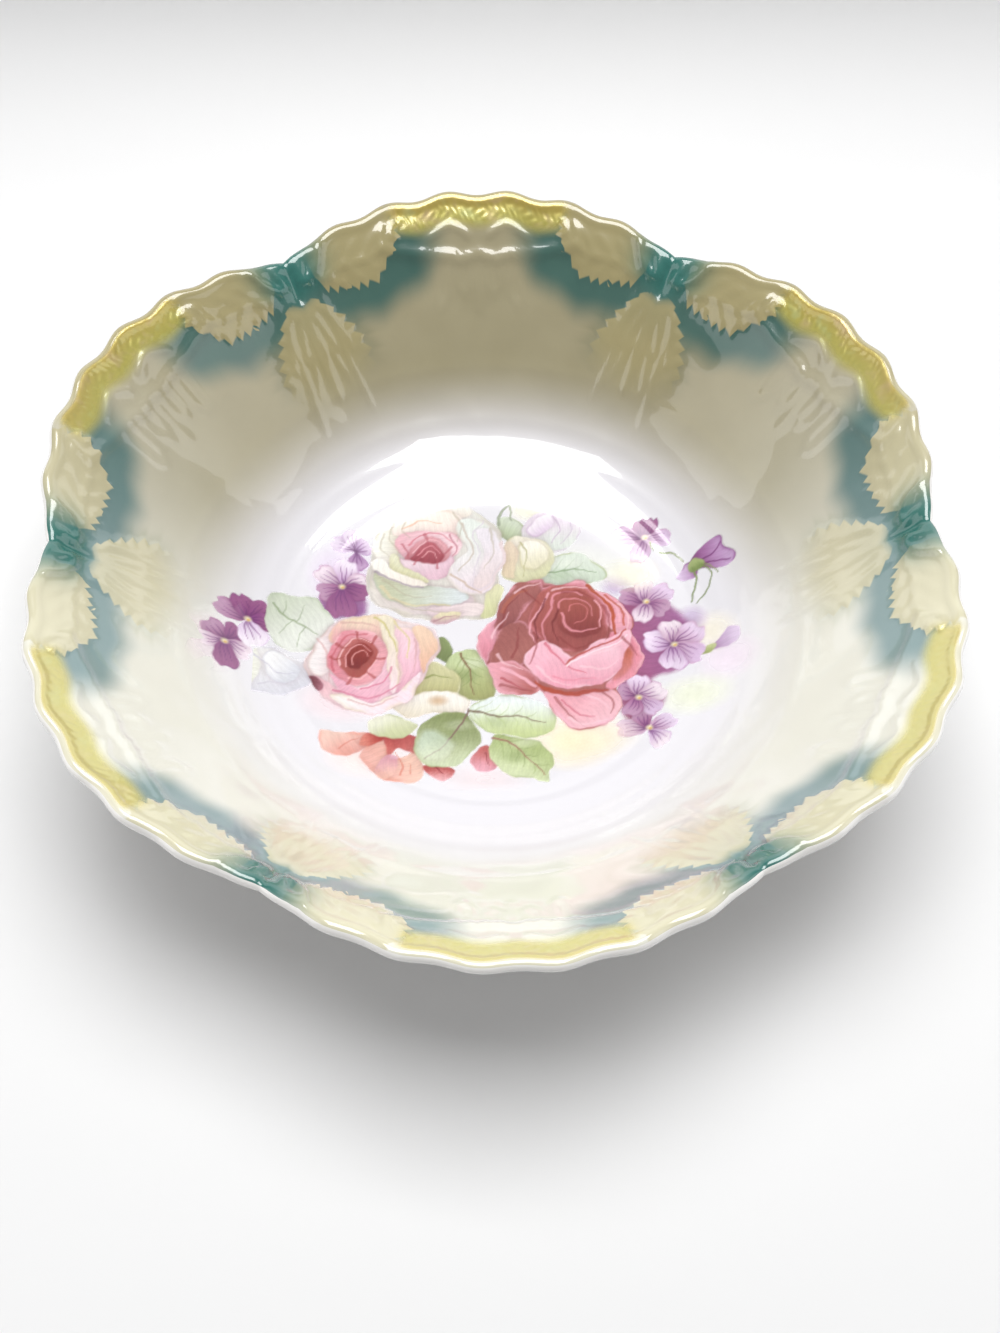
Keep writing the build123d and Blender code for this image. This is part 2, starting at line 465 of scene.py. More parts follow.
def smooth_line(points, closed):
    """Points along a smooth curve that goes through the given ones."""
    knots = np.array(points, float)
    padded = np.vstack([knots[-1:], knots, knots[:2]] if closed else [knots[:1], knots, knots[-1:]])
    shares = np.arange(6)[:, None] / 6
    parts = []
    for a, b, c, d in zip(padded[:-3], padded[1:-2], padded[2:-1], padded[3:]):
        bend = (2 * a - 5 * b + 4 * c - d) + shares * (3 * b - 3 * c + d - a)
        parts.append(b + shares / 2 * ((c - a) + shares * bend))
    return np.vstack(parts + [knots[:1] if closed else knots[-1:]])


def blank_sheet(left, right, low, high, pitch):
    """An unprinted sheet of grid points: where they are, their colour and how much of it covers."""
    x, y = np.meshgrid(np.arange(left, right, pitch), np.arange(low, high, pitch), indexing="ij")
    stipple = np.sin(2.9 * x + 1.7 * np.sin(2.3 * y)) * np.sin(2.7 * y + 1.9 * np.sin(1.9 * x + 1))
    drift = np.sin(0.5 * x + 1.3 * np.sin(0.37 * y)) * np.sin(0.43 * y + 1.1 * np.sin(0.61 * x))
    # the hand that drew the plate wavers a little, so every outline does too
    x_drawn = x + 0.4 * np.sin(0.55 * y + 1.2 * np.sin(0.31 * x))
    x_drawn += 0.1 * np.sin(1.7 * y + 1.1 * np.sin(1.3 * x))
    y_drawn = y + 0.4 * np.sin(0.51 * x + 1.3 * np.sin(0.29 * y) + 2)
    y_drawn += 0.1 * np.sin(1.8 * x + 1.2 * np.sin(1.4 * y))
    return {
        "x": x, "y": y, "x_drawn": x_drawn, "y_drawn": y_drawn, "grain": 0.5 * stipple + 0.5 * drift,
        "ink": np.ones(x.shape + (3,)), "cover": np.zeros(x.shape),
    }


def near_line(sheet, line, reach):
    """The sheet's points within reach of a line: their places, distances and shares of its length."""
    low, high = line.min(axis=0) - reach, line.max(axis=0) + reach
    x, y = sheet["x_drawn"], sheet["y_drawn"]
    picked = np.nonzero((x > low[0]) & (x < high[0]) & (y > low[1]) & (y < high[1]))
    x, y = x[picked], y[picked]
    gap, share, inside = np.full(x.shape, 1e9), np.zeros(x.shape), np.zeros(x.shape, bool)
    count = len(line) - 1
    for index in range(count):
        (ax, ay), (bx, by) = line[index], line[index + 1]
        run = (bx - ax) ** 2 + (by - ay) ** 2 + 1e-12
        along = np.clip(((x - ax) * (bx - ax) + (y - ay) * (by - ay)) / run, 0, 1)
        distance = np.hypot(x - ax - along * (bx - ax), y - ay - along * (by - ay))
        closer = distance < gap
        gap[closer] = distance[closer]
        share[closer] = (index + along[closer]) / count
        if ay != by:
            crossing = ((ay > y) != (by > y)) & (x < ax + (y - ay) * (bx - ax) / (by - ay))
            inside ^= crossing
    return picked, x, y, gap, share, inside


def lay(sheet, picked, tint, cover):
    """Print a colour over what is already on the sheet."""
    grain = 1 + 0.035 * sheet["grain"][picked][:, None]
    cover = np.clip(cover, 0, 1)
    below = sheet["cover"][picked] * (1 - cover)
    total = np.maximum(cover + below, 1e-6)
    mixed = tint * grain * cover[:, None] + sheet["ink"][picked] * below[:, None]
    sheet["ink"][picked] = np.clip(mixed / total[:, None], 0, 1)
    sheet["cover"][picked] = cover + below


def petal(sheet, points, tint, deep=None, toward=0.0, edge=None, edge_width=0.9, soft=0.35, strength=1.0):
    """A smooth shape: tint turns into deep in the direction toward, with a brushed line of edge colour."""
    line = smooth_line(points, True)
    picked, x, y, gap, share, inside = near_line(sheet, line, soft + 2.0)
    signed = np.where(inside, gap, -gap)
    shadow = 0.1 * strength * np.exp(-np.clip(-signed, 0, None) / 0.8) * sheet["cover"][picked]
    sheet["ink"][picked] *= 1 - shadow[:, None] * np.array([0.8, 1.0, 0.9])
    colours = np.broadcast_to(rgb(tint), x.shape + (3,)).copy()
    turn = math.radians(toward)
    ahead = x * math.cos(turn) + y * math.sin(turn)
    aside = x * math.sin(turn) - y * math.cos(turn)
    if deep:
        ends = line @ (math.cos(turn), math.sin(turn))
        share = ease(ahead + 0.8 * sheet["grain"][picked], ends.min() + 0.1 * np.ptp(ends), ends.max())
        colours += share[:, None] * (rgb(deep) - colours)
    # fine hairs that the engraver left along the petal
    hairs = np.sin(5.3 * aside + 1.3 * np.sin(0.5 * ahead))
    hairs *= np.sin(2.1 * aside + 0.9 * np.sin(0.7 * ahead + 2))
    colours *= 1 + 0.03 * hairs[:, None]
    if edge:
        brushed = np.exp(-((gap / (edge_width * (1 + 0.4 * sheet["grain"][picked]))) ** 2))
        brushed *= 0.85 * np.clip(0.4 + 0.8 * np.sin(0.5 * x + 0.3 * y + 1.2 * np.sin(0.33 * y)), 0, 1)
        colours += brushed[:, None] * (rgb(edge) - colours)
    lay(sheet, picked, colours, strength * ease(signed, -soft, soft))


def stroke(sheet, points, tint, width=0.6, end_width=0.15, strength=0.9):
    """A brush line that tapers from its first point to its last."""
    line = smooth_line(points, False)
    picked, x, y, gap, share, inside = near_line(sheet, line, width + 0.6)
    half = (width + (end_width - width) * share) / 2
    lay(sheet, picked, np.broadcast_to(rgb(tint), x.shape + (3,)), strength * ease(half - gap, -0.22, 0.22))


def halo(sheet, x, y, across, high, tint, strength=0.5):
    """A soft cloud of colour."""
    spread = ((sheet["x"] - x) / across) ** 2 + ((sheet["y"] - y) / high) ** 2
    picked = np.nonzero(spread < 1)
    cover = strength * (1 - spread[picked]) ** 1.5
    lay(sheet, picked, np.broadcast_to(rgb(tint), cover.shape + (3,)), cover)


def leaf(sheet, points, tint, deep, toward, stem, veins, stem_tint="7d6a55", vein_tint="8b9a63"):
    """A leaf with a midrib and the side veins that leave it on both sides."""
    petal(sheet, points, tint, deep, toward, edge="a9b585", edge_width=0.5)
    rib = smooth_line(stem, False)
    middle_rib = rib[len(rib) // 2]
    halo(sheet, middle_rib[0] - 1.5, middle_rib[1] - 2.0, 6.0, 3.2, vein_tint, 0.45)
    halo(sheet, middle_rib[0] + 1.5, middle_rib[1] + 2.6, 6.0, 2.6, "f2f5ea", 0.35)
    for step in range(1, veins + 1):
        at = int(step * (len(rib) - 2) / (veins + 1))
        ahead = rib[at + 1] - rib[at]
        ahead = ahead / (np.hypot(*ahead) + 1e-9)
        for side in (-1, 1):
            away = np.array((ahead[0] - side * 1.2 * ahead[1], ahead[1] + side * 1.2 * ahead[0]))
            end = rib[at] + away * (5.0 - 2.4 * step / veins)
            stroke(sheet, [rib[at], (rib[at] + end) / 2 + ahead * 0.5, end], vein_tint, 0.45, 0.1, 0.45)
    stroke(sheet, stem, stem_tint, 0.85, 0.3, 0.8)


darkest_ink, palest_ink = 0.01, 0.88  # linear


def drop_on_bowl(name, sheet, lift, gain, haze, material):
    """Cut a sheet out along its print, lay it on the bowl's glaze and give it its colours."""
    kept = sheet["cover"] > 0.02
    cells = kept[:-1, :-1] | kept[1:, :-1] | kept[:-1, 1:] | kept[1:, 1:]
    columns, lines = sheet["x"].shape
    film = bmesh.new()
    bmesh.ops.create_grid(film, x_segments=columns - 1, y_segments=lines - 1, size=1)
    film.verts.ensure_lookup_table()
    spots = np.array([corner.co[:2] for corner in film.verts])
    column = np.rint((spots[:, 0] + 1) / 2 * (columns - 1)).astype(int)
    row = np.rint((spots[:, 1] + 1) / 2 * (lines - 1)).astype(int)
    x, y = sheet["x"][column, row], sheet["y"][column, row]
    angle = np.arctan2(y, x)
    places = wall_point(angle, row_through(angle, np.hypot(x, y), 4), -lift)
    places[:, 0], places[:, 1] = x * mm, y * mm
    for corner, place in zip(film.verts, places):
        corner.co = place
    film.faces.ensure_lookup_table()
    unused = []
    column_list, row_list = column.tolist(), row.tolist()
    for face in film.faces:
        low_column = min(column_list[corner.index] for corner in face.verts)
        low_row = min(row_list[corner.index] for corner in face.verts)
        if not cells[low_column, low_row]:
            unused.append(face)
    numbers = {corner: corner.index for corner in film.verts}
    bmesh.ops.delete(film, geom=unused, context="FACES")
    left = np.array([numbers[corner] for corner in film.verts])
    piece = finish_piece(name, film)
    tints = np.ones((len(left), 4), np.float32)
    ink = to_linear(sheet["ink"][column[left], row[left]])
    tints[:, :3] = np.clip(gain * ink + haze, darkest_ink, palest_ink)
    layer = piece.data.attributes.new("print", "FLOAT_COLOR", "POINT")
    layer.data.foreach_set("color", tints.ravel())
    store(piece.data, "cover", np.clip(sheet["cover"][column[left], row[left]] * 1.03 - 0.03, 0, 1))
    piece.data.materials.append(material)
    piece.visible_shadow = False  # ink this thin throws no shadow
    return piece


print_pitch = 0.36  # finer than the eye sees at arm's length
roses = blank_sheet(-72, 60, -54, 54, print_pitch)
# pale clouds of tint that the airbrush left round the flowers
halo(roses, 14, 49, 8, 6, "f3f1cf", 0.6)
halo(roses, 45, 22, 11, 8, "f3efd0", 0.6)
halo(roses, 22, -38, 17, 12, "f1e2b4", 0.7)
halo(roses, 33, -36, 12, 9, "f0e4c6", 0.5)
halo(roses, 30, 26, 20, 12, "e7ecd9", 0.4)
halo(roses, -46, -22, 16, 10, "f2d6d8", 0.5)
halo(roses, -38, -42, 16, 10, "f7ddcf", 0.5)
halo(roses, -4, -50, 16, 7, "eed8d6", 0.4)
# grey-green leaf and white bud at the left
petal(roses, [
    (-69, 10), (-67, 14.5), (-61, 15.5), (-55, 15), (-52, 13), (-48, 5), (-52, 0), (-55, -4), (-60, -5),
    (-65, -4), (-68, 0),
], "eaece5", "cdd4c2", 120, "b9c3ab", 0.8)
stroke(roses, [(-67, 11), (-61, 6), (-53, 2)], "9dab8c", 0.7, 0.3)
for start, end in (
    ((-64, 8.5), (-63, 13)), ((-60, 5.5), (-57, 12)), ((-61, 6), (-65, 1)), ((-57, 4), (-60, -3)),
):
    stroke(roses, [start, end], "a9b59a", 0.4)
petal(roses, [
    (-76, -14), (-74, -10), (-71, -6), (-66, -5), (-61, -7), (-57, -9), (-55.5, -13), (-56, -17),
    (-60, -20), (-66, -22), (-72, -22), (-76, -18),
], "f4f4f3", "dcdbe4", -60, "d5d3dc", 0.7)
petal(roses, [
    (-76, -14), (-74, -10), (-71, -6), (-70, -12), (-72, -20), (-76, -18),
], "dcdcc4", "eeeee6", 0)
petal(roses, [
    (-66, -6), (-61, -8), (-58, -12), (-62, -17), (-68, -15), (-69, -9),
], "f8f7f8", "d9dae2", -40, "cfced8", 0.5)
stroke(roses, [(-72, -8), (-66, -13), (-59, -13)], "c9c6d4", 0.5)
stroke(roses, [(-70, -20), (-65, -17), (-60, -18)], "cfcbd6", 0.5)
# coral petals at the lower left
petal(roses, [
    (-52.5, -36), (-51, -32.5), (-46, -34), (-38, -33), (-38, -37), (-44, -42.5), (-51, -40),
], "f2cfc2", "e4a69b", -60, "e9a596", 0.7)
petal(roses, [
    (-40, -42), (-38.5, -37.5), (-34, -35), (-31, -43), (-24, -40), (-22, -45), (-24, -51), (-32, -51),
    (-36, -48),
], "f2c9b8", "e9b0a5", 200, "e8a593", 0.8)
petal(roses, [(-38, -33), (-34, -34), (-33, -36), (-38, -38), (-41, -37)], "b9554f", "d98a7c", 180)
petal(roses, [
    (-33, -35), (-26, -34), (-23, -37), (-23, -41), (-29, -38.5), (-32, -42),
], "b4504d", "cf7a74", -90)
petal(roses, [
    (-36, -48), (-33, -42), (-29, -42), (-30, -47), (-33, -50),
], "d9a0b0", "efc0b0", -90, strength=0.8)
stroke(roses, [(-29, -49), (-28, -44), (-30, -40)], "d98878", 0.6)
stroke(roses, [(-26, -48), (-26, -44)], "dd9484", 0.5)
stroke(roses, [(-46, -40), (-44, -37), (-41, -35)], "d98f84", 0.6)
# small red petals at the bottom
petal(roses, [(-22, -45), (-13, -46), (-14, -49), (-17, -51), (-20, -49)], "bf625f", "e9b0b4", -90)
petal(roses, [
    (-3, -38), (-0.5, -42), (-0.5, -46), (-5, -48), (-8, -45), (-6, -41),
], "bf625f", "e3a6b4", -100)
stroke(roses, [(-18, -46), (-16, -48.5)], "8f3b42", 0.6)
stroke(roses, [(-3, -41), (-3, -45.5)], "98464a", 0.6)
# cream bud, lilac bud and pale leaves between the upper roses
petal(roses, [
    (3.5, 43), (6, 46), (9, 46), (13, 41), (12, 37), (10, 35), (5, 38),
], "d3dbc8", "b9c6a4", 250, "a5b08d", 0.6)
stroke(roses, [(4, 43), (5.5, 48), (7.5, 51), (8.6, 49), (8.3, 45)], "9fa892", 1.1, 0.5)
petal(roses, [
    (12, 38), (12, 43), (16, 46.5), (22, 48), (27, 46.5), (30, 43), (30, 38), (26, 33.5), (20, 32),
    (15, 34),
], "f0e4f0", "dfe6dd", -90, "d8cad9", 0.6)
petal(roses, [
    (13, 41), (17, 45.5), (22, 47), (21, 42), (17, 38),
], "f7eef6", "e2d0e4", -60, "cdb7cf", 0.5)
stroke(roses, [(22, 46.5), (23.5, 41), (21, 35)], "c9b4cb", 0.6)
stroke(roses, [(27, 45.5), (27, 40), (24, 35)], "cdbdd0", 0.5)
leaf(roses, [
    (14, 22.5), (17, 28), (23, 31), (30, 30.5), (36, 26), (37, 22), (32, 19), (24, 18.6), (17, 19.5),
], "e0e8dc", "ccd8c6", -90, [(15, 22.5), (24, 24.6), (34, 23.7)], 4, "8fa383", "a8bb9c")
petal(roses, [
    (5, 22), (5, 29), (6, 35), (9, 38), (14, 38), (19, 35.5), (21, 30), (20, 25), (16, 21), (10, 20),
], "f3eedd", "d9d9b2", -70, "cfcda6", 0.7)
petal(roses, [(5, 23), (5.2, 30), (7, 36), (9.5, 34), (9, 27), (8, 22)], "e0cfb4", "ead9c4", 90)
petal(roses, [
    (10, 34), (14, 37), (18, 34), (19, 29), (15, 25), (11, 27),
], "f8f4e8", "e6e0c4", -80, "cfc9a2", 0.5)
stroke(roses, [(11, 36), (12.5, 30), (11, 23)], "b9b58c", 0.6)
# cream rose, from its outer petals to its heart
petal(roses, [
    (-38, 25), (-38.5, 18), (-35, 13), (-28, 9), (-20, 6.5), (-10, 6.5), (-1, 7.5), (3, 12), (3, 19),
    (5, 30), (5, 36), (4, 41), (0, 46), (-5, 50.5), (-12, 52), (-24, 50.5), (-30, 49), (-33, 45),
    (-36, 36),
], "eeeee6", "e0dcd4", -90, "d3cfc0", 0.8)
petal(roses, [
    (-35, 27), (-37.5, 20), (-35, 14), (-28, 10), (-19, 8.5), (-9, 9.5), (-4, 14), (-9, 19),
    (-20, 19.5), (-29, 23),
], "e6e0d8", "dccdd0", -50, "d3cdbd", 0.8)
petal(roses, [
    (-35, 27), (-35.5, 20), (-32, 15), (-26, 12.5), (-18, 12), (-9, 13), (-6, 15.5), (-10, 18.8),
    (-20, 19.5), (-29, 23),
], "c9ccb0", "dbe2e4", 0, "b9c0b0", 0.6)
stroke(roses, [(-34, 20), (-30, 15), (-22, 12.4), (-12, 12.6)], "d9cfae", 1.1, 0.5)
petal(roses, [
    (-20, 10), (-14, 12), (-7, 12.6), (0, 12), (-2, 9), (-10, 7.5), (-17, 7.5),
], "e3d0d4", "efe2e0", 0)
petal(roses, [
    (-19, 6), (-17, 8.8), (-14, 10), (-10, 9.4), (-10, 7), (-14, 5.5),
], "e5dcb8", "c9aab0", -90)
stroke(roses, [(-18, 6.6), (-14, 8.2), (-10, 7.6)], "b58f96", 0.7)
petal(roses, [
    (-3, 8), (-1.5, 13), (0, 18), (2.5, 20), (4.2, 18), (3, 12), (0.5, 7.5),
], "e0dfba", "cfd0a2", -90)
petal(roses, [
    (-34, 42), (-30, 49), (-24, 50.6), (-19, 50), (-20, 46), (-27, 43), (-32, 38),
], "f3efe7", "e7e0d3", -60, "d6cfbf", 0.6)
petal(roses, [
    (-21, 50), (-14, 52), (-7, 51.6), (-4, 49), (-8, 46), (-16, 46),
], "f7f4ec", "efe6da", -90, "e0d0bd", 0.6)
petal(roses, [
    (-36, 33), (-35, 41), (-31, 42.5), (-28, 40), (-28, 34), (-31, 29.5), (-34, 29),
], "f8f6ee", "ebe7d6", 0, "cfcab2", 0.6)
petal(roses, [
    (-30, 40), (-28, 46), (-21, 49), (-13, 49.5), (-8, 46), (-9, 40), (-15, 37), (-23, 38),
], "fbf4ea", "f6dfd8", -80, "e9d3c4", 0.7)
petal(roses, [
    (-29, 34), (-27, 40), (-22, 41.5), (-17, 40.5), (-12, 41), (-8, 38), (-9, 33), (-14, 29), (-22, 29),
], "f7d9df", "edbcc6", 200, "e6b0ba", 0.6)
petal(roses, [
    (-26, 30), (-24.5, 35), (-20.5, 38), (-17, 38.5), (-12.5, 36), (-12, 32), (-15, 28.5), (-21, 27.5),
], "dfa6ad", "c8838c", -120)
petal(roses, [
    (-24, 29.5), (-23, 33), (-20, 36), (-17, 36.4), (-14.5, 34), (-14, 31), (-17, 28.8),
], "b96a73", "a0525c", -90)
stroke(roses, [(-24, 33), (-21, 35.8), (-17, 37.4), (-13, 35)], "f0b9c0", 0.6, 0.3)
stroke(roses, [(-22.5, 31.5), (-20, 34), (-17, 34.8), (-15, 32.5)], "e79aa4", 0.5, 0.3)
stroke(roses, [(-21, 30.5), (-19, 32.5), (-17, 32.6), (-16.4, 30.8)], "e8a5ab", 0.5, 0.3)
stroke(roses, [(-25, 36), (-21, 39.5), (-15, 39.8), (-10, 36.5)], "d98c98", 0.7, 0.3)
stroke(roses, [(-27, 42.5), (-21, 45), (-14, 44.5)], "efc5ae", 0.7, 0.3)
petal(roses, [
    (-28, 31), (-25.5, 30.4), (-20, 28.2), (-14, 29.5), (-11.5, 31.5), (-11, 26), (-15, 22.5),
    (-21, 22), (-26, 26),
], "f1dde4", "e3c0ce", -60, "d6b0be", 0.5)
petal(roses, [
    (-31, 32), (-28.5, 31.5), (-26, 27.5), (-19.5, 22.5), (-20, 20.6), (-26, 22.8), (-31, 27.5),
], "e8e6cc", "d9d7ae", -120, "cdcaa4", 0.5)
petal(roses, [
    (-37.4, 29), (-34, 30.5), (-30, 26.5), (-21.5, 21.5), (-20, 19.5), (-27, 20.5), (-34, 24),
], "fbf8f2", "efe6dc", -90)
stroke(roses, [(-35.5, 25.4), (-29, 21.6), (-21, 19.3)], "a79aa5", 0.9, 0.5, 0.8)
petal(roses, [
    (-10, 43), (-6, 46), (0, 44.5), (5, 37), (5.4, 30), (3, 23), (-2, 16), (-8, 17), (-12.5, 22),
    (-11, 28), (-6.5, 33), (-8, 38),
], "e9eee8", "ecdfe6", -80, "dcd3cb", 0.8)
petal(roses, [
    (-3, 41), (1, 42), (4.4, 36), (4.4, 30), (1.5, 23), (-3, 18), (-5, 21), (-1.5, 28), (-1.5, 35),
], "f2eaf3", "ead9d8", -90, strength=0.8)
stroke(roses, [(-8, 43.5), (-5.5, 37.5), (-5, 31), (-9, 25)], "cfc4ba", 0.8, 0.4)
stroke(roses, [(4.9, 36), (5, 29), (1.5, 21.5), (-3, 16.3)], "e6d4d6", 1.2, 0.6)
stroke(roses, [(-1, 45), (-4, 39), (-2.6, 31), (-5, 23.5)], "d8cdda", 0.5, 0.3, 0.7)
stroke(roses, [(-11.5, 24), (-6, 18.5), (-2, 16.5)], "cdb8a8", 0.7, 0.4)
stroke(roses, [(-12, 40), (-9.5, 35), (-11.5, 31)], "c98f9b", 0.7, 0.3)
for start, bend, end in (
    ((-33, 40), (-33.5, 35), (-31.5, 31)), ((-30, 44), (-31, 39), (-28, 33)),
    ((-26, 46), (-27, 42), (-24, 39)), ((-10, 48), (-8, 42), (-9, 37)), ((1, 42), (2.4, 34), (-1, 26)),
    ((-33, 22), (-27, 17), (-18, 15.4)), ((-30, 14.6), (-22, 10.4), (-13, 10)),
):
    stroke(roses, [start, bend, end], "b7ad9a", 0.8, 0.25, 0.5)
for start, bend, end in (
    ((-27, 36), (-25.6, 33), (-25, 30.6)), ((-20, 40), (-18.6, 37.6), (-18.4, 35)),
    ((-11, 35), (-13, 33), (-15, 32)), ((-23, 28), (-22, 30), (-20, 31.4)),
    ((-16, 27), (-16.4, 29.4), (-16, 31.4)),
):
    stroke(roses, [start, bend, end], "b2606a", 0.9, 0.2, 0.55)
# leaves between the lower roses
petal(roses, [(-17.5, -7), (-17, -1), (-14, 0.5), (-12.5, -4), (-13, -9)], "8c9a6a", "7d8b5c", -90)
leaf(roses, [
    (-14, -10), (-12.5, -6), (-9, -4.5), (-5, -5), (-3, -8), (-1, -13), (0.8, -20), (-3, -23),
    (-9, -22.5), (-12, -16),
], "c3cf9f", "a5a870", -80, [(-9.5, -5.5), (-7.5, -12), (-6, -21)], 4, "86694f", "7f9058")
petal(roses, [
    (-25, -15), (-21.5, -10.5), (-17, -9), (-12, -12), (-10, -18), (-12, -22), (-18, -21), (-25, -20),
], "cfcca0", "b9b680", -90, "dedbb8", 0.7)
stroke(roses, [(-23, -16), (-18, -13.5), (-13, -14.5)], "9aa068", 0.8, 0.3)
petal(roses, [
    (-31, -25), (-27, -21.5), (-22, -20), (-14, -19), (-9, -21.5), (-8, -25), (-12, -28), (-20, -27),
    (-26, -28.5),
], "f5f1ea", "e2d8c6", -100, "d6ccb4", 0.6)
halo(roses, -17, -22.6, 4, 2.4, "c9a27c", 0.7)
petal(roses, [
    (-38, -29), (-33, -27), (-28, -28.6), (-23, -30.6), (-26.4, -34), (-31, -35.5), (-36, -34),
], "e8e8d4", "c4c99c", -70, "b9bf92", 0.6)
leaf(roses, [
    (-24.5, -38), (-23, -32), (-18, -28), (-12, -26.5), (-8, -28), (-5, -35), (-5, -38), (-8, -42),
    (-12, -45), (-18, -46), (-22, -44),
], "87925f", "d3dcba", -105, [(-8, -26), (-10, -31), (-15, -37), (-21, -43)], 5, "80605a", "8c9a66")
petal(roses, [
    (-23.5, -38), (-21.5, -33.5), (-16, -34), (-13, -38), (-16, -43), (-21, -43),
], "cfe0d3", "e2ead0", -60, strength=0.6, soft=1.2)
leaf(roses, [
    (-1, -35), (4, -36), (11, -37), (14.5, -40), (16.5, -43), (16, -46), (14.6, -48), (15, -51.5),
    (10, -50.5), (5, -50), (1, -47), (-2, -42),
], "a9b87a", "d5deb6", -110, [(-1.5, -36), (4, -38.5), (9, -43), (13.5, -49)], 5, "9a6a5c", "83945a")
leaf(roses, [
    (-8, -26), (-5, -23.5), (0, -21.3), (6, -21.7), (12, -23), (16, -26), (18.5, -30), (17, -34),
    (13, -36), (6, -36), (-2, -34), (-6, -31),
], "eaf1f0", "c3cf93", -90, [(-8, -26.5), (-2, -28), (6, -29), (15, -31)], 5, "7a6a58", "a5b47c")
# pink rose
petal(roses, [
    (-57, -8), (-56, -13), (-53, -18), (-50, -22), (-44, -25.5), (-36, -26.5), (-30, -24.5), (-24, -20),
    (-20, -12), (-16, -4), (-17, 3), (-22, 5), (-30, 8), (-37, 9.5), (-46, 7.5), (-51, 3), (-54, -2),
], "f1e4e4", "ecd0d4", -70, "dcc3bd", 0.8)
petal(roses, [
    (-53, -18), (-48, -22.5), (-40, -27), (-36, -26.5), (-40, -22), (-48, -17), (-54, -13),
], "efc4cb", "f6e2e4", -60)
petal(roses, [
    (-55.6, -14), (-53.5, -13.6), (-51.4, -17), (-52.6, -18.6), (-54.6, -17),
], "7a4a52", "a5707c", 0)
petal(roses, [
    (-56, -8), (-53, -1), (-50, 4), (-46, 7), (-44, 3), (-48, -4), (-50, -11), (-54, -13),
], "f5eeee", "e9cfd2", 0, "e0cdc9", 0.6)
petal(roses, [
    (-50, 0), (-47, 6), (-40, 9), (-34, 8.8), (-31, 4), (-33, -1), (-41, 1), (-46, -1),
], "f0dcc4", "e7aeb2", -100, "e3c9ab", 0.7)
petal(roses, [
    (-50, -9), (-49.5, -2), (-45, 3), (-38, 3.6), (-33, -1), (-32, -8), (-35, -14), (-41, -16.5),
    (-47, -14.5),
], "eaaab2", "de8f9b", 180, "f3c4ca", 0.6)
petal(roses, [
    (-47, -8), (-46, -3), (-42.5, 0.4), (-38, 0.4), (-35.4, -3), (-36, -8), (-39.4, -12.5),
    (-44, -13.5),
], "bd6c69", "a85650", -60)
petal(roses, [
    (-44.6, -7), (-43, -3), (-40, -1), (-37, -3), (-37.6, -7), (-40.6, -10.5), (-43.6, -10.4),
], "93403c", "7f3230", -90)
stroke(roses, [(-46.5, -9), (-45.6, -3.4), (-41.6, 0.6), (-37, -0.6)], "f3bfc2", 0.7, 0.3)
stroke(roses, [(-44.6, -10), (-43.9, -4.6), (-40.6, -1.8), (-37.6, -4)], "eaa4a6", 0.55, 0.3)
stroke(roses, [(-42.5, -9.5), (-42, -5.6), (-39.6, -4.2), (-38.2, -6)], "e39a98", 0.5, 0.3)
stroke(roses, [(-48.6, -11), (-48.2, -4), (-44.5, 1.2), (-38, 2.4)], "c96d78", 0.7, 0.4)
stroke(roses, [(-44, -14), (-40, -13.5), (-36.5, -9.5), (-35, -5)], "f2b4b8", 0.8, 0.4)
petal(roses, [
    (-50, -12), (-46, -15), (-40, -16.8), (-34, -13), (-32, -7), (-28.6, -4), (-26, -8), (-26, -15),
    (-30, -20), (-37, -22.5), (-45, -20),
], "f3cbd8", "e9b0c2", -130, "f6dbe2", 0.8)
petal(roses, [
    (-33, -1), (-30, 4), (-25, 4), (-21, -2), (-21.4, -10), (-25, -16), (-29.4, -19), (-28.6, -10),
], "f6d3dd", "eab2c4", -100, "f0dcd0", 0.7)
petal(roses, [
    (-35, 8), (-30, 7.4), (-29.4, 0), (-28.6, -8), (-29.4, -19), (-31.4, -18), (-32, -8), (-33, 0),
], "ece2cc", "f3dbe0", -90, "dccfae", 0.5)
stroke(roses, [(-36, 8), (-31.5, 3), (-29.4, -5)], "d0c68c", 0.9, 0.4)
stroke(roses, [(-30, 7), (-26, 1), (-25.6, -7)], "dccf9f", 0.7, 0.4)
petal(roses, [
    (-24, 3.6), (-19.4, 3.6), (-16.4, -2), (-19, -8), (-21.6, -13), (-22, -5),
], "f0d2ba", "e6b8a0", -80, "e6c3a8", 0.6)
petal(roses, [
    (-49, -20), (-43, -20.6), (-36, -22.6), (-29, -19.6), (-22.6, -12.5), (-24, -20), (-30, -24.6),
    (-36, -26.4), (-44, -25.4),
], "f7f0ee", "f3dbe4", -40, "e5d6c4", 0.8)
stroke(roses, [(-48, -18.4), (-41, -20.4), (-34, -20.4), (-28.4, -16)], "d78aa0", 0.8, 0.4)
stroke(roses, [(-40, -17.4), (-34, -16), (-30.4, -10.5)], "d9859c", 0.6, 0.3)
for start, bend, end in (
    ((-49, -6), (-47, -6.6), (-44.6, -6)), ((-48, -1), (-46, -2.6), (-43.6, -3)),
    ((-41, 3), (-41, 0.6), (-40.6, -1.6)), ((-35, 1), (-36.6, -1), (-38, -3)),
    ((-33, -7), (-35.6, -6.6), (-38, -6)), ((-36, -14), (-38, -11.6), (-39.6, -9.6)),
    ((-44, -16), (-43, -13.4), (-42.4, -11)),
):
    stroke(roses, [start, bend, end], "a24c4c", 1.0, 0.3, 0.6)
for start, bend, end in (
    ((-53, 0), (-50, -7), (-50, -15)), ((-46, 6), (-40, 6.6), (-35, 4)),
    ((-44, -22), (-36, -23.6), (-29, -21)), ((-24, 0), (-23, -6), (-24.6, -12)),
):
    stroke(roses, [start, bend, end], "c99a98", 0.8, 0.25, 0.5)
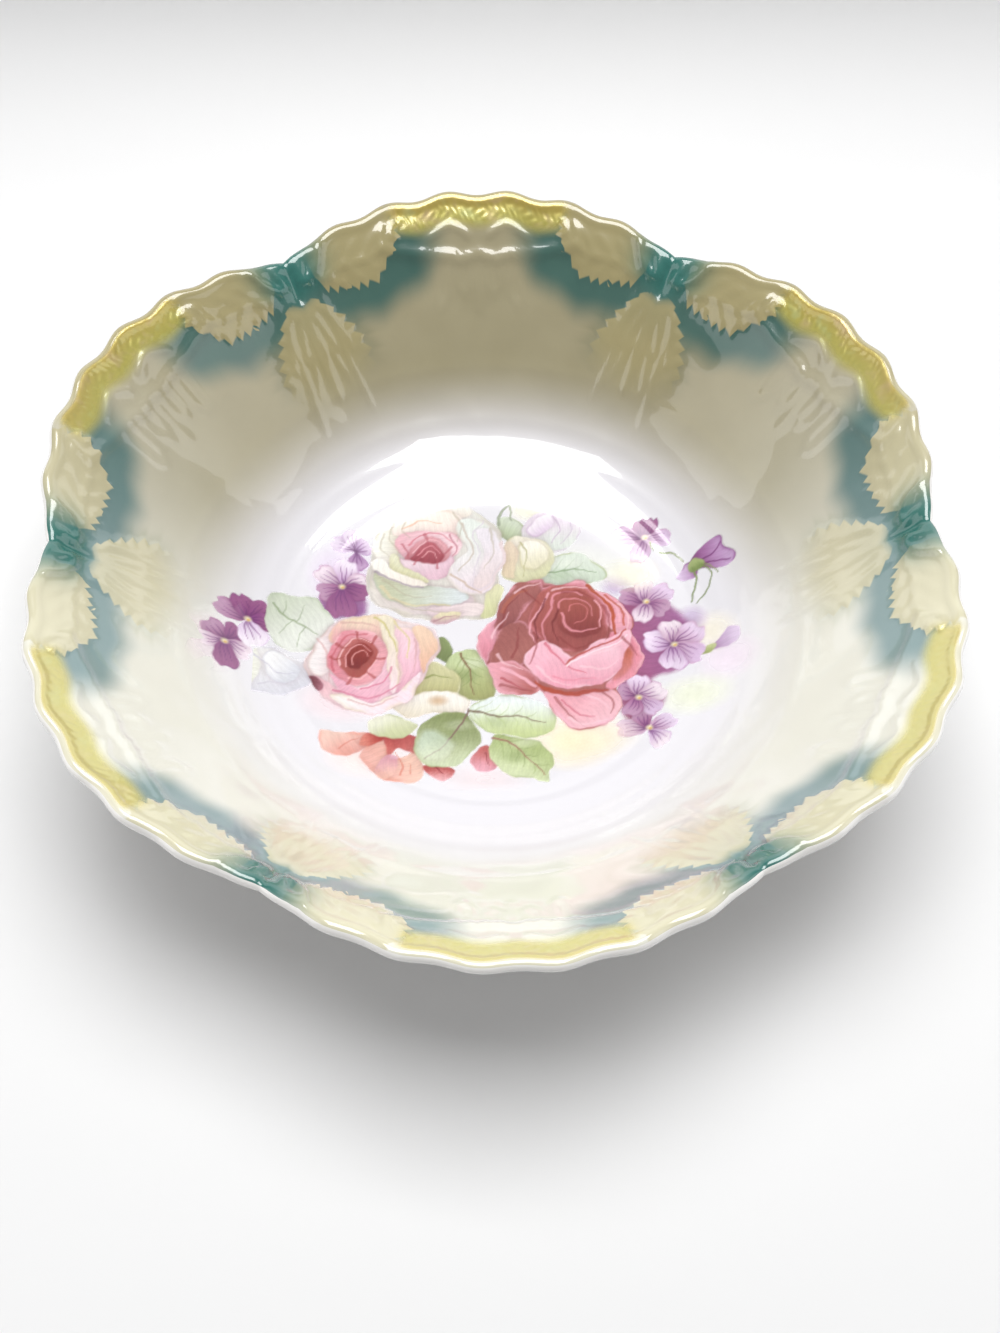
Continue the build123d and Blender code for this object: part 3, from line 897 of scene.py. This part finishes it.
# red rose
petal(roses, [
    (-4.5, -3), (-4, 1), (1, 5.5), (2, 9), (5, 15), (8, 19.5), (12, 21), (16, 21), (18, 19.4),
    (22, 18.6), (25, 20), (29, 20.3), (33, 16), (37, 15.5), (40, 13), (42, 9), (44.5, 4), (43.8, -1),
    (45.5, -7), (46.7, -10), (41, -17), (37.4, -19.5), (38, -26), (36, -30), (30, -34), (23, -33.5),
    (17, -27), (14, -20), (8, -21.5), (3, -21), (1, -19), (-1, -14), (-2, -9.5), (-4.5, -5),
], "b06b67", "c07a75", -60, "dd98a2", 0.9)
petal(roses, [
    (15, -21), (20, -21.6), (26, -20.5), (32, -20.6), (36, -20), (38, -25), (36, -30), (30, -33.5),
    (23, -33), (18, -28),
], "e8a5b1", "efbcc6", -50, "f0bccd", 0.9)
stroke(roses, [(20, -24), (24, -28), (30, -30)], "d27b8b", 0.8, 0.3)
stroke(roses, [(28, -22), (32, -25), (35, -28)], "f2c4d0", 0.8, 0.3)
petal(roses, [
    (36, 0), (43, -0.5), (45.5, -7), (46.7, -10), (41, -17), (37.4, -19.5), (34, -19), (38, -12),
], "e592a2", "e89aa8", -90, "efb4c2", 0.8)
petal(roses, [
    (38, -4), (42.4, -6), (43, -11), (39, -16), (36.5, -16),
], "b9603f", "cf8078", -90, strength=0.7, soft=0.8)
petal(roses, [
    (-4.5, -4), (-4, 1), (-1, 4.5), (2, 6.4), (2, 1), (0, -4), (-1.4, -9),
], "e8a6b5", "d88a9a", -90, "f0bfc9", 0.6)
petal(roses, [
    (1.5, 6), (4.6, 14), (8, 19), (12, 20.6), (16, 20.6), (17, 16), (12, 12), (8, 6), (5, 0), (1.5, 2),
], "a86a67", "95595a", -90, "e0a0ae", 0.7)
stroke(roses, [(4, 9), (7.5, 14.5), (12, 17.4)], "b46a5c", 1.6, 0.8, 0.8)
petal(roses, [
    (0, -4), (3, 2), (8, 6), (12, 4), (13, -4), (10, -10), (4, -13), (0, -12),
], "a0625f", "b0706a", -60, "d999a6", 0.6)
petal(roses, [
    (-1.6, -10), (2, -9), (8, -10), (13, -15), (14, -20), (8, -21.2), (3, -20.8), (0.8, -18.6),
    (-1, -14),
], "e5a4b0", "b06462", -20, "eeb2c0", 0.8)
stroke(roses, [(3, -12), (8, -14.6), (13, -18.4)], "f0b4c2", 1.4, 0.8)
stroke(roses, [(2, -15.6), (6, -17.6), (10, -19.4)], "b55f66", 0.9, 0.4)
petal(roses, [
    (17, 17.4), (22, 18.6), (25, 20), (29, 20), (33, 16), (37, 15.4), (40, 13), (42, 9), (44, 4),
    (43, 0), (38, 1), (33, 8), (26, 15),
], "d98d97", "e8a7b6", 0, "f0b9c4", 0.7)
stroke(roses, [(31, 18), (36, 12.5), (38.4, 6), (38, 0)], "b5583f", 1.5, 0.8)
stroke(roses, [(36.5, 14.5), (40.4, 9), (41.6, 2.5)], "c0695a", 1.0, 0.5)
stroke(roses, [(34, 16), (38.6, 10.6), (40.4, 4)], "f1b7c3", 0.7, 0.4)
petal(roses, [
    (12, 5), (14, 13), (18, 17.6), (25, 18.8), (31, 16.6), (35.6, 10), (36, 2), (32, -4), (24, -6),
    (17, -4),
], "b06560", "9d5654", -100, "cf8088", 0.8)
petal(roses, [
    (20.5, 7), (22, 12.5), (26.6, 15), (32, 12.6), (35, 7), (33.4, 1), (28, -1.2), (22.6, 1.6),
], "a45c55", "8a4646", -90)
stroke(roses, [(19, 11), (21, 15), (26, 16.6), (29.5, 14.6)], "e79aa6", 0.8, 0.4)
stroke(roses, [(21, 10), (23, 13.2), (27, 13.8), (30.6, 11.4), (31.4, 7)], "e08f98", 0.6, 0.3)
stroke(roses, [(22, 8.6), (23.4, 3.4), (28, 0.8), (33, 2.4)], "e2959f", 0.8, 0.4)
stroke(roses, [
    (24.4, 9), (25.6, 11.4), (28.6, 11.2), (30, 8.4), (28.8, 5), (26, 4),
], "cf7a7c", 0.5, 0.3)
stroke(roses, [(33, 12.4), (34.6, 8), (33.8, 3)], "efaab4", 0.8, 0.4)
stroke(roses, [(19, 15.6), (15, 9), (12.4, 3.4), (12.2, 0), (15.6, -6)], "eaa7b2", 0.9, 0.4)
stroke(roses, [(20, 12.6), (17.4, 6.6), (15.8, 1), (17, -5)], "dd919c", 0.8, 0.4)
stroke(roses, [(17.6, 13.6), (14.4, 6), (13.8, -1)], "74383c", 0.7, 0.4, 0.7)
stroke(roses, [(21, 10), (19.4, 4), (20, -2.4)], "78393b", 0.8, 0.4, 0.7)
petal(roses, [
    (10, -8), (12, -14), (17, -18.2), (25, -19.4), (32, -18.4), (38, -14), (41.4, -6), (43.6, 0.6),
    (38, -0.4), (31, -3.6), (25, -8), (19, -4), (14.6, -2),
], "f2bccb", "eba4b6", -80, "f6ccd8", 0.8)
petal(roses, [
    (24, -9), (30, -6), (38, -4), (40, -8), (36, -15), (28, -17), (24, -14),
], "f7cdd9", "f0b4c4", -90, strength=0.7, soft=1.5)
stroke(roses, [(16.4, -3), (20, -8), (24, -12), (28, -14.6)], "d87f8f", 0.9, 0.4)
stroke(roses, [(23, -10.6), (26, -7.4), (34, -4.2), (42.4, 1.2)], "b9605c", 0.9, 0.5)
stroke(roses, [(22.8, -11), (26.4, -8.6), (34, -5.8), (42, -1)], "fbe0e8", 0.7, 0.4)
stroke(roses, [(18, -15), (24, -16.6), (31, -16)], "e592a4", 0.7, 0.3)
petal(roses, [
    (12.6, -16.6), (16, -19), (21, -20.2), (28, -20.4), (34.6, -20), (32, -21.4), (24, -22), (16, -21),
], "b0503f", "a8524c", 0, soft=0.35)
for start, bend, end in (
    ((3, 3), (4.6, 9), (9.6, 15)), ((10, 18), (13, 15.6), (16, 11)), ((6, -8), (8, -2), (9, 4)),
    ((13, 1), (13.6, -5), (11.4, -10)), ((23, 16), (28, 16.6), (33, 12.6)),
    ((35, 11), (37.2, 5), (35, -2)), ((21, -1), (25, -4.6), (31, -3.4)),
    ((2, -18), (7, -19), (12, -19.6)), ((18, -23), (21, -28), (26, -32)),
    ((33, -21.6), (35.6, -25), (35, -29)), ((40, -1.6), (42.4, -5), (44.6, -9)),
):
    stroke(roses, [start, bend, end], "8a4142", 1.1, 0.25, 0.5)
for start, bend, end in (
    ((0, 0), (2.6, 4), (5.6, 8.6)), ((8, 16), (11.6, 19), (16, 19.6)), ((1.6, -6), (4, -10), (9, -12)),
    ((20, 16.6), (25, 18.4), (31, 17)), ((40, 11), (42.6, 6), (42.6, 1)),
    ((13, -11), (17, -16), (23, -18)), ((29, -8), (35, -6.6), (40, -3)),
    ((27, -12), (33, -12.6), (38.6, -9.6)), ((22, -30), (28, -32.4), (34, -31)),
):
    stroke(roses, [start, bend, end], "f7cdd6", 0.9, 0.25, 0.7)
# Enamel ink: ground glass colours, fused into the glaze, so they are as glossy as it is.
rose_ink = new_material("fired_enamel_print")
tint = add_node(rose_ink, "Attribute", attribute_name="print").outputs["Color"]
covered = add_node(rose_ink, "Attribute", attribute_name="cover").outputs["Fac"]
printed = add_node(
    rose_ink, "BsdfPrincipled",
    {"Base Color": tint, "Roughness": 0.25, "IOR": 1.5, "Coat Weight": 1.0, "Coat Roughness": 0.03},
)
clear = add_node(rose_ink, "BsdfTransparent")
faded = add_node(rose_ink, "MixShader", {0: covered, 1: clear.outputs[0], 2: printed.outputs[0]})
add_node(rose_ink, "OutputMaterial", {"Surface": faded.outputs[0]})
rose_print = drop_on_bowl("rose_print", roses, lift=0.13, gain=0.92, haze=-0.022, material=rose_ink)
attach(rose_print, "root")
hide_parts("rose_transfer")

# ---------------------------------------------------------------- violet print
# Sprays of violets in purple enamel, cut from their own sheet and fired beside the roses.
# They have five petals each, with dark streaks round a yellow heart.


def violet(sheet, x, y, petals, heart=True):
    """Violet petals round a centre, each given as direction, length, half width and colours."""
    for turn, length, width, tint, deep in petals:
        ahead = np.array((math.cos(math.radians(turn)), math.sin(math.radians(turn))))
        aside = np.array((-ahead[1], ahead[0])) * width * 0.88
        spots = [(0.02, 0.1), (0.35, 0.75), (0.72, 1.0), (0.97, 0.5), (0.93, -0.1), (1.0, -0.5), (0.7, -1.0),
                 (0.3, -0.7), (0.02, -0.1)]
        points = [(x, y) + ahead * length * out + aside * wide for out, wide in spots]
        petal(sheet, points, tint, deep, turn + 180, edge=deep, edge_width=0.45)
        for wide in (-0.45, 0.0, 0.45):
            end = (x, y) + ahead * length * 0.72 + aside * wide
            stroke(sheet, [(x, y), ((x, y) + end) / 2 + aside * wide * 0.2, end], "6d3a72", 0.65, 0.1, 0.6)
    if heart:
        halo(sheet, x, y, 1.6, 1.4, "f4ecc0", 1.0)
        halo(sheet, x + 0.2, y - 0.3, 0.7, 0.6, "d9a650", 0.8)


dark, middle, pale = "a0638f", "c198b6", "f1e2ec"
violets = blank_sheet(-90, 84, -48, 48, print_pitch)
halo(violets, -83, -9, 11, 12, "ead9e6", 0.6)
halo(violets, 71, -14, 11, 10, "ead9e6", 0.6)
halo(violets, 60, -25, 14, 9, "e6ecc9", 0.6)
halo(violets, 67, -3, 10, 9, "f3ecd2", 0.6)
halo(violets, 62, 3, 6, 6, "b9a0c5", 0.7)
halo(violets, 40, 18, 6, 5, "b79cc4", 0.7)
halo(violets, -46, 24, 13, 14, "dcc6e2", 0.6)
petal(violets, [
    (38, 8), (44, 12), (56, 9), (62, 1), (63, -5), (56, -15), (48, -17), (51, -23), (47, -30),
    (41, -33), (37, -22), (41, -14),
], "a5689a", "a2597f", 180, soft=1.4)
petal(violets, [
    (-53, 14), (-50, 18), (-44, 18), (-38, 14), (-40, 9), (-48, 8),
], "a977a4", "99669a", -90, soft=1.4)
violet(violets, -42, 33, [
    (150, 8, 3.5, "eadcee", "cfb4d6"), (95, 8, 3.6, "f0e4f2", "c9a9d0"), (30, 6, 3, "e6d2ea", "b995c2"),
    (-80, 7, 3.5, "cfaed2", "a070a4"),
], False)
violet(violets, -46, 20, [
    (140, 10, 4, pale, middle), (75, 10, 4.5, "f3e6f5", "c79fca"), (20, 9, 4, pale, middle),
    (205, 8.5, 4, middle, dark), (-25, 9, 4, dark, "8b4d80"), (-90, 12, 5.5, dark, "8b4d80"),
])
violet(violets, -80, -7, [
    (135, 8, 3.6, middle, dark), (60, 8, 3.6, dark, "8b4d80"), (195, 7, 3.2, pale, middle),
    (-15, 8, 3.6, pale, middle), (-85, 9.5, 4.4, dark, "8b4d80"),
])
violet(violets, -74, 3.5, [
    (165, 9.5, 4, middle, dark), (110, 8.5, 4.2, dark, "8b4d80"), (50, 8.5, 4, dark, "8b4d80"),
    (0, 8, 3.8, dark, "8a4a84"), (-75, 9.5, 5, "f7eef8", "dcc4e2"),
])
violet(violets, 50.5, 35, [
    (170, 10.5, 3.8, "e6d0e9", middle), (105, 7, 3, dark, "8b4d80"), (60, 7, 3, dark, "8b4d80"),
    (-15, 8, 3.4, "d9bfdd", middle), (-110, 9.5, 4, "e0c8e4", middle),
])
stroke(violets, [(51.5, 33), (52, 31), (53, 29.5)], "8b9a5c", 0.6, 0.4)
stroke(violets, [(55, 28.5), (59, 28), (62, 24)], "8b9a5c", 0.7, 0.4)
petal(violets, [
    (64, 22), (66, 26), (70, 29.4), (73.4, 29), (74, 25), (76, 22.4), (76, 19.6), (70, 18.6),
], "c9a6cf", "93568c", 180, "8a5088", 0.6)
petal(violets, [
    (59, 19), (62, 23), (65.4, 22.6), (65, 18.6), (61, 17.4),
], "dcc4e2", "a878ac", 0, "8a5088", 0.5)
stroke(violets, [(66, 22), (70, 24), (73.4, 27)], "7d4479", 0.7, 0.3)
stroke(violets, [(66, 21), (71, 21.4), (75, 20.6)], "7d4479", 0.7, 0.3)
petal(violets, [
    (62.6, 21.6), (65, 23.8), (68, 22.4), (66.8, 20), (63.6, 19.8),
], "a9b77c", "7f9058", -90)
stroke(violets, [(64, 21), (64.6, 15), (62.5, 9)], "7f9058", 0.7, 0.5)
stroke(violets, [(67, 21), (69.2, 17), (68.2, 12), (64, 8)], "7f9058", 0.6, 0.4)
stroke(violets, [(68, 21), (71.5, 17)], "8b9a5c", 0.5, 0.3)
petal(violets, [
    (66, -9.6), (69, -7), (72, -3), (75, -3.6), (75.4, -7), (71, -10),
], "dcc8e2", "b08ab4", 200)
petal(violets, [(63.6, -10), (66, -7.6), (68.4, -8.6), (66.6, -11)], "c9cf9a", "a3ad70", -90)
violet(violets, 49, 11.5, [
    (160, 8.5, 3.8, middle, dark), (95, 8, 3.8, pale, middle), (25, 9, 4, "e2cbe6", middle),
    (-40, 8, 3.8, middle, dark), (-110, 8, 4, pale, middle),
])
violet(violets, 45.5, -35, [
    (175, 10, 4, "dcc2e0", middle), (110, 7, 3.4, middle, dark), (20, 8.5, 3.6, "e6d2ea", middle),
    (-60, 8, 3.8, pale, "c7a6cc"),
])
violet(violets, 43.5, -23.5, [
    (150, 7, 3.4, middle, dark), (85, 8.5, 4, "ecd9f0", middle), (20, 8.5, 4, pale, middle),
    (-50, 8, 3.8, "d9bfdd", middle), (-120, 7, 3.4, middle, dark),
])
violet(violets, 56, -5.5, [
    (160, 10, 4.6, "efdff2", "c79fca"), (95, 9, 4.4, pale, middle), (35, 10.5, 4.6, "e6d0e9", middle),
    (-35, 10, 4.6, "dcc0e0", middle), (-100, 9.5, 4.8, "e9d6ec", "b58bb5"),
])
# The same enamel in purple, from a second plate.
violet_ink = rose_ink.copy()
violet_ink.name = "fired_purple_enamel_print"
violet_print = drop_on_bowl("violet_print", violets, lift=0.08, gain=0.9, haze=-0.008, material=violet_ink)
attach(violet_print, "root")
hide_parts("violet_transfers")

# ---------------------------------------------------------------- lustre bands
# Thin gold and pearl lustre, brushed on the inside of the rim in a band on each lobe.
# It follows fine flutes in the moulding, and thins out to nothing down the wall.
lustre_half_angle, lustre_depth = 13.4, 8.4
bands = bmesh.new()
bow_layer = bands.verts.layers.float.new("bow")
depth_layer = bands.verts.layers.float.new("depth")
for lobe in range(lobes):
    grid = bmesh.ops.create_grid(bands, x_segments=200, y_segments=26, size=1)
    for corner in grid["verts"]:
        corner[bow_layer] = 60 * lobe + 30 + corner.co.x * lustre_half_angle
        corner[depth_layer] = (corner.co.y + 1) / 2 * (lustre_depth + 0.5) - 0.5
bow = np.array([corner[bow_layer] for corner in bands.verts])
depth = np.array([corner[depth_layer] for corner in bands.verts])
angle = np.radians(bow)
row_of = row_through(angle, rim_radius(angle) - np.clip(depth, 0, None), 6)
wander = bow * 2.06 + 0.8 * np.sin(depth * 1.1 + bow * 0.9)
flutes = 0.03 * np.cos(wander * math.tau / 2.1)
flutes += 0.03 * np.sin(wander * 1.3) * np.sin(depth * 2.1 + np.sin(bow * 1.7))
flutes *= ease(depth, 0, 1.2) * ease(depth, lustre_depth, 4)
ends = ease(np.abs(bow % 60 - 30), lustre_half_angle, lustre_half_angle - 2.4)
places = wall_point(angle, row_of, -(0.13 + flutes), np.clip(-depth, 0, None))
for corner, place in zip(bands.verts, places):
    corner.co = place
bmesh.ops.recalc_face_normals(bands, faces=bands.faces)
lustre_bands = finish_piece("lustre_bands", bands)
lustre_mesh = lustre_bands.data
store(lustre_mesh, "cover", ends * ease(depth, lustre_depth, 3.4) * ease(depth, -0.5, 0.2))
store(lustre_mesh, "down", np.clip(depth / lustre_depth, 0, 1))
# the share of painted sheen, paler towards the bowl's -y side
store(lustre_mesh, "sheen_paleness", painted_sheen_side(angle))
# Gold lustre: a metallic film some hundreds of nanometres thick over glaze, yellow, with pink and
# green glints painted into its colour as a pearly sheen.
lustre = new_material("gold_and_pearl_lustre")
place = add_node(lustre, "TexCoord").outputs["Object"]
cloud = add_node(lustre, "TexNoise", {"Vector": place, "Scale": 45.0, "Detail": 4.0}).outputs["Fac"]
pearl = add_node(lustre, "TexNoise", {"Vector": place, "Scale": 160.0, "Detail": 2.0}).outputs["Fac"]
fall = add_node(lustre, "Attribute", attribute_name="down").outputs["Fac"]
covered = add_node(lustre, "Attribute", attribute_name="cover").outputs["Fac"]
warm = add_node(
    lustre, "Mix", {0: cloud, 6: colour("b59a45"), 7: colour("c9b165")}, data_type="RGBA"
).outputs[2]
glint = add_node(
    lustre, "MapRange", {"Value": pearl, "From Min": 0.55, "From Max": 0.75, "To Max": 0.3}
).outputs["Result"]
mint_glint = add_node(
    lustre, "MapRange", {"Value": pearl, "From Min": 0.45, "From Max": 0.3, "To Max": 0.22}
).outputs["Result"]
sheen_paleness = add_node(lustre, "Attribute", attribute_name="sheen_paleness").outputs["Fac"]
sheen_pale = add_node(lustre, "Math", {0: sheen_paleness, 1: 0.6}, operation="MULTIPLY").outputs[0]
# greener down the wall, then painted glints of pink and of mint for a pearly sheen, and paler towards the
# bowl's -y side, a painted sheen
lustre_with_painted_glints = warm
for share, tint in ((fall, "9da552"), (glint, "dcb4b0"), (mint_glint, "b4cfa4"), (sheen_pale, "ecdf9c")):
    lustre_with_painted_glints = add_node(
        lustre, "Mix", {0: share, 6: lustre_with_painted_glints, 7: colour(tint)}, data_type="RGBA"
    ).outputs[2]
film = add_node(
    lustre, "BsdfPrincipled",
    {"Base Color": lustre_with_painted_glints, "Metallic": 0.25, "Roughness": 0.28, "IOR": 1.5, "Coat Weight": 1.0,
     "Coat Roughness": 0.04, "Thin Film Thickness": 420.0, "Thin Film IOR": 1.7},
)
clear = add_node(lustre, "BsdfTransparent")
faded = add_node(lustre, "MixShader", {0: covered, 1: clear.outputs[0], 2: film.outputs[0]})
add_node(lustre, "OutputMaterial", {"Surface": faded.outputs[0]})
lustre_mesh.materials.append(lustre)
lustre_bands.visible_shadow = False
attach(lustre_bands, "root")
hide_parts("rim_lustre")

# ---------------------------------------------------------------- foot ring
# A ring of the same porcelain, turned and luted to the underside.
# Its sides are glazed and its standing edge is ground bare.
foot_profile = [
    (46.5, 6.0), (46.5, 1.3), (46.8, 0.6), (47.5, 0.15), (48.4, 0.0), (50.1, 0.0),
    (51.0, 0.15), (51.7, 0.6), (52.0, 1.3), (52.0, 4.6), (52.5, 5.6), (53.5, 6.0),
]
bare_edge_height = 0.7
ring = bmesh.new()
previous = None
for radius, height in foot_profile:
    corner = ring.verts.new((radius * mm, 0, height * mm))
    if previous:
        ring.edges.new((previous, corner))
    previous = corner
ring.edges.new((previous, ring.verts[:][0]))
spin_round(ring, 240)
bmesh.ops.recalc_face_normals(ring, faces=ring.faces)
for face in ring.faces:
    face.material_index = int(max(corner.co.z for corner in face.verts) < bare_edge_height * mm)
foot = finish_piece("foot_ring_turned", ring)
foot.data.materials.append(outside_glaze)
# Bare porcelain: fine, dry and slightly grey where the stand has rubbed it.
bisque = new_material("unglazed_porcelain")
place = add_node(bisque, "TexCoord").outputs["Object"]
rub = add_node(bisque, "TexNoise", {"Vector": place, "Scale": 300.0, "Detail": 5.0}).outputs["Fac"]
clay = add_node(
    bisque, "Mix", {0: rub, 6: colour("e4e0d6"), 7: colour("cdc7ba")}, data_type="RGBA"
).outputs[2]
bare = add_node(bisque, "BsdfPrincipled", {"Base Color": clay, "Roughness": 0.75})
add_node(bisque, "OutputMaterial", {"Surface": bare.outputs[0]})
foot.data.materials.append(bisque)
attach(foot, "root")
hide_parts("foot_ring")

# ---------------------------------------------------------------- studio
# A sheet of white paper that bends up behind the bowl, one large soft light overhead,
# soft panels at both sides and behind, and a pale room. Lengths here are metres.
paper_front, paper_half_width = -2.2, 2.0
bend_start, bend_radius, paper_top = 0.2, 0.065, 0.075
outline = [(paper_front, 0.0), (-0.6, 0.0), (0.15, 0.0)]
for turn in np.radians(np.arange(0, 89, 4)):
    outline.append((bend_start + bend_radius * math.sin(turn), bend_radius * (1 - math.cos(turn))))
outline.append((bend_start + bend_radius + 0.003, paper_top))
sweep = bmesh.new()
previous = None
for back, height in outline:
    corner = sweep.verts.new((-paper_half_width, back, height))
    if previous:
        sweep.edges.new((previous, corner))
    previous = corner
paper = bmesh.ops.extrude_edge_only(sweep, edges=sweep.edges[:])
far_edge = [part for part in paper["geom"] if isinstance(part, bmesh.types.BMVert)]
bmesh.ops.translate(sweep, verts=far_edge, vec=(2 * paper_half_width, 0, 0))
bmesh.ops.recalc_face_normals(sweep, faces=sweep.faces)
paper_sweep = finish_piece("paper_sweep", sweep)
paper_white = new_material("matt_white_paper")
paper_shader = add_node(paper_white, "BsdfPrincipled", {"Base Color": colour("e4e4e4"), "Roughness": 0.75})
add_node(paper_white, "OutputMaterial", {"Surface": paper_shader.outputs[0]})
paper_sweep.data.materials.append(paper_white)

room = bpy.data.worlds.new("room")
bpy.context.scene.world = room
room.use_nodes = True
room.node_tree.nodes["Background"].inputs["Color"].default_value = colour("f4f4f6")
room.node_tree.nodes["Background"].inputs["Strength"].default_value = 0.14


def soft_panel(name, width, height, watts, place, facing, upright="Z"):
    """A soft rectangle of light that faces a direction and isn't seen itself."""
    panel = bpy.data.lights.new(name, "AREA")
    panel.shape = "RECTANGLE"
    panel.size = width
    panel.size_y = height
    panel.energy = watts
    stand = put_in_scene(name, panel)
    stand.location = place
    stand.rotation_euler = Vector(facing).to_track_quat("-Z", upright).to_euler()
    stand.visible_camera = False


soft_panel("soft_box", 0.85, 0.8, 14.7, (0.02, 0.11, 1.15), (-0.02, -0.11, -1.1), "Y")
for side in (-1, 1):
    soft_panel("side_panel", 0.8, 0.5, 1.3, (0.62 * side, -0.13, 0.3), (-side, 0, 0))
soft_panel("back_panel", 1.6, 0.5, 1.9, (0, 0.6, 0.33), (0, -1, -0.1))
bpy.context.scene.view_settings.view_transform = "Standard"
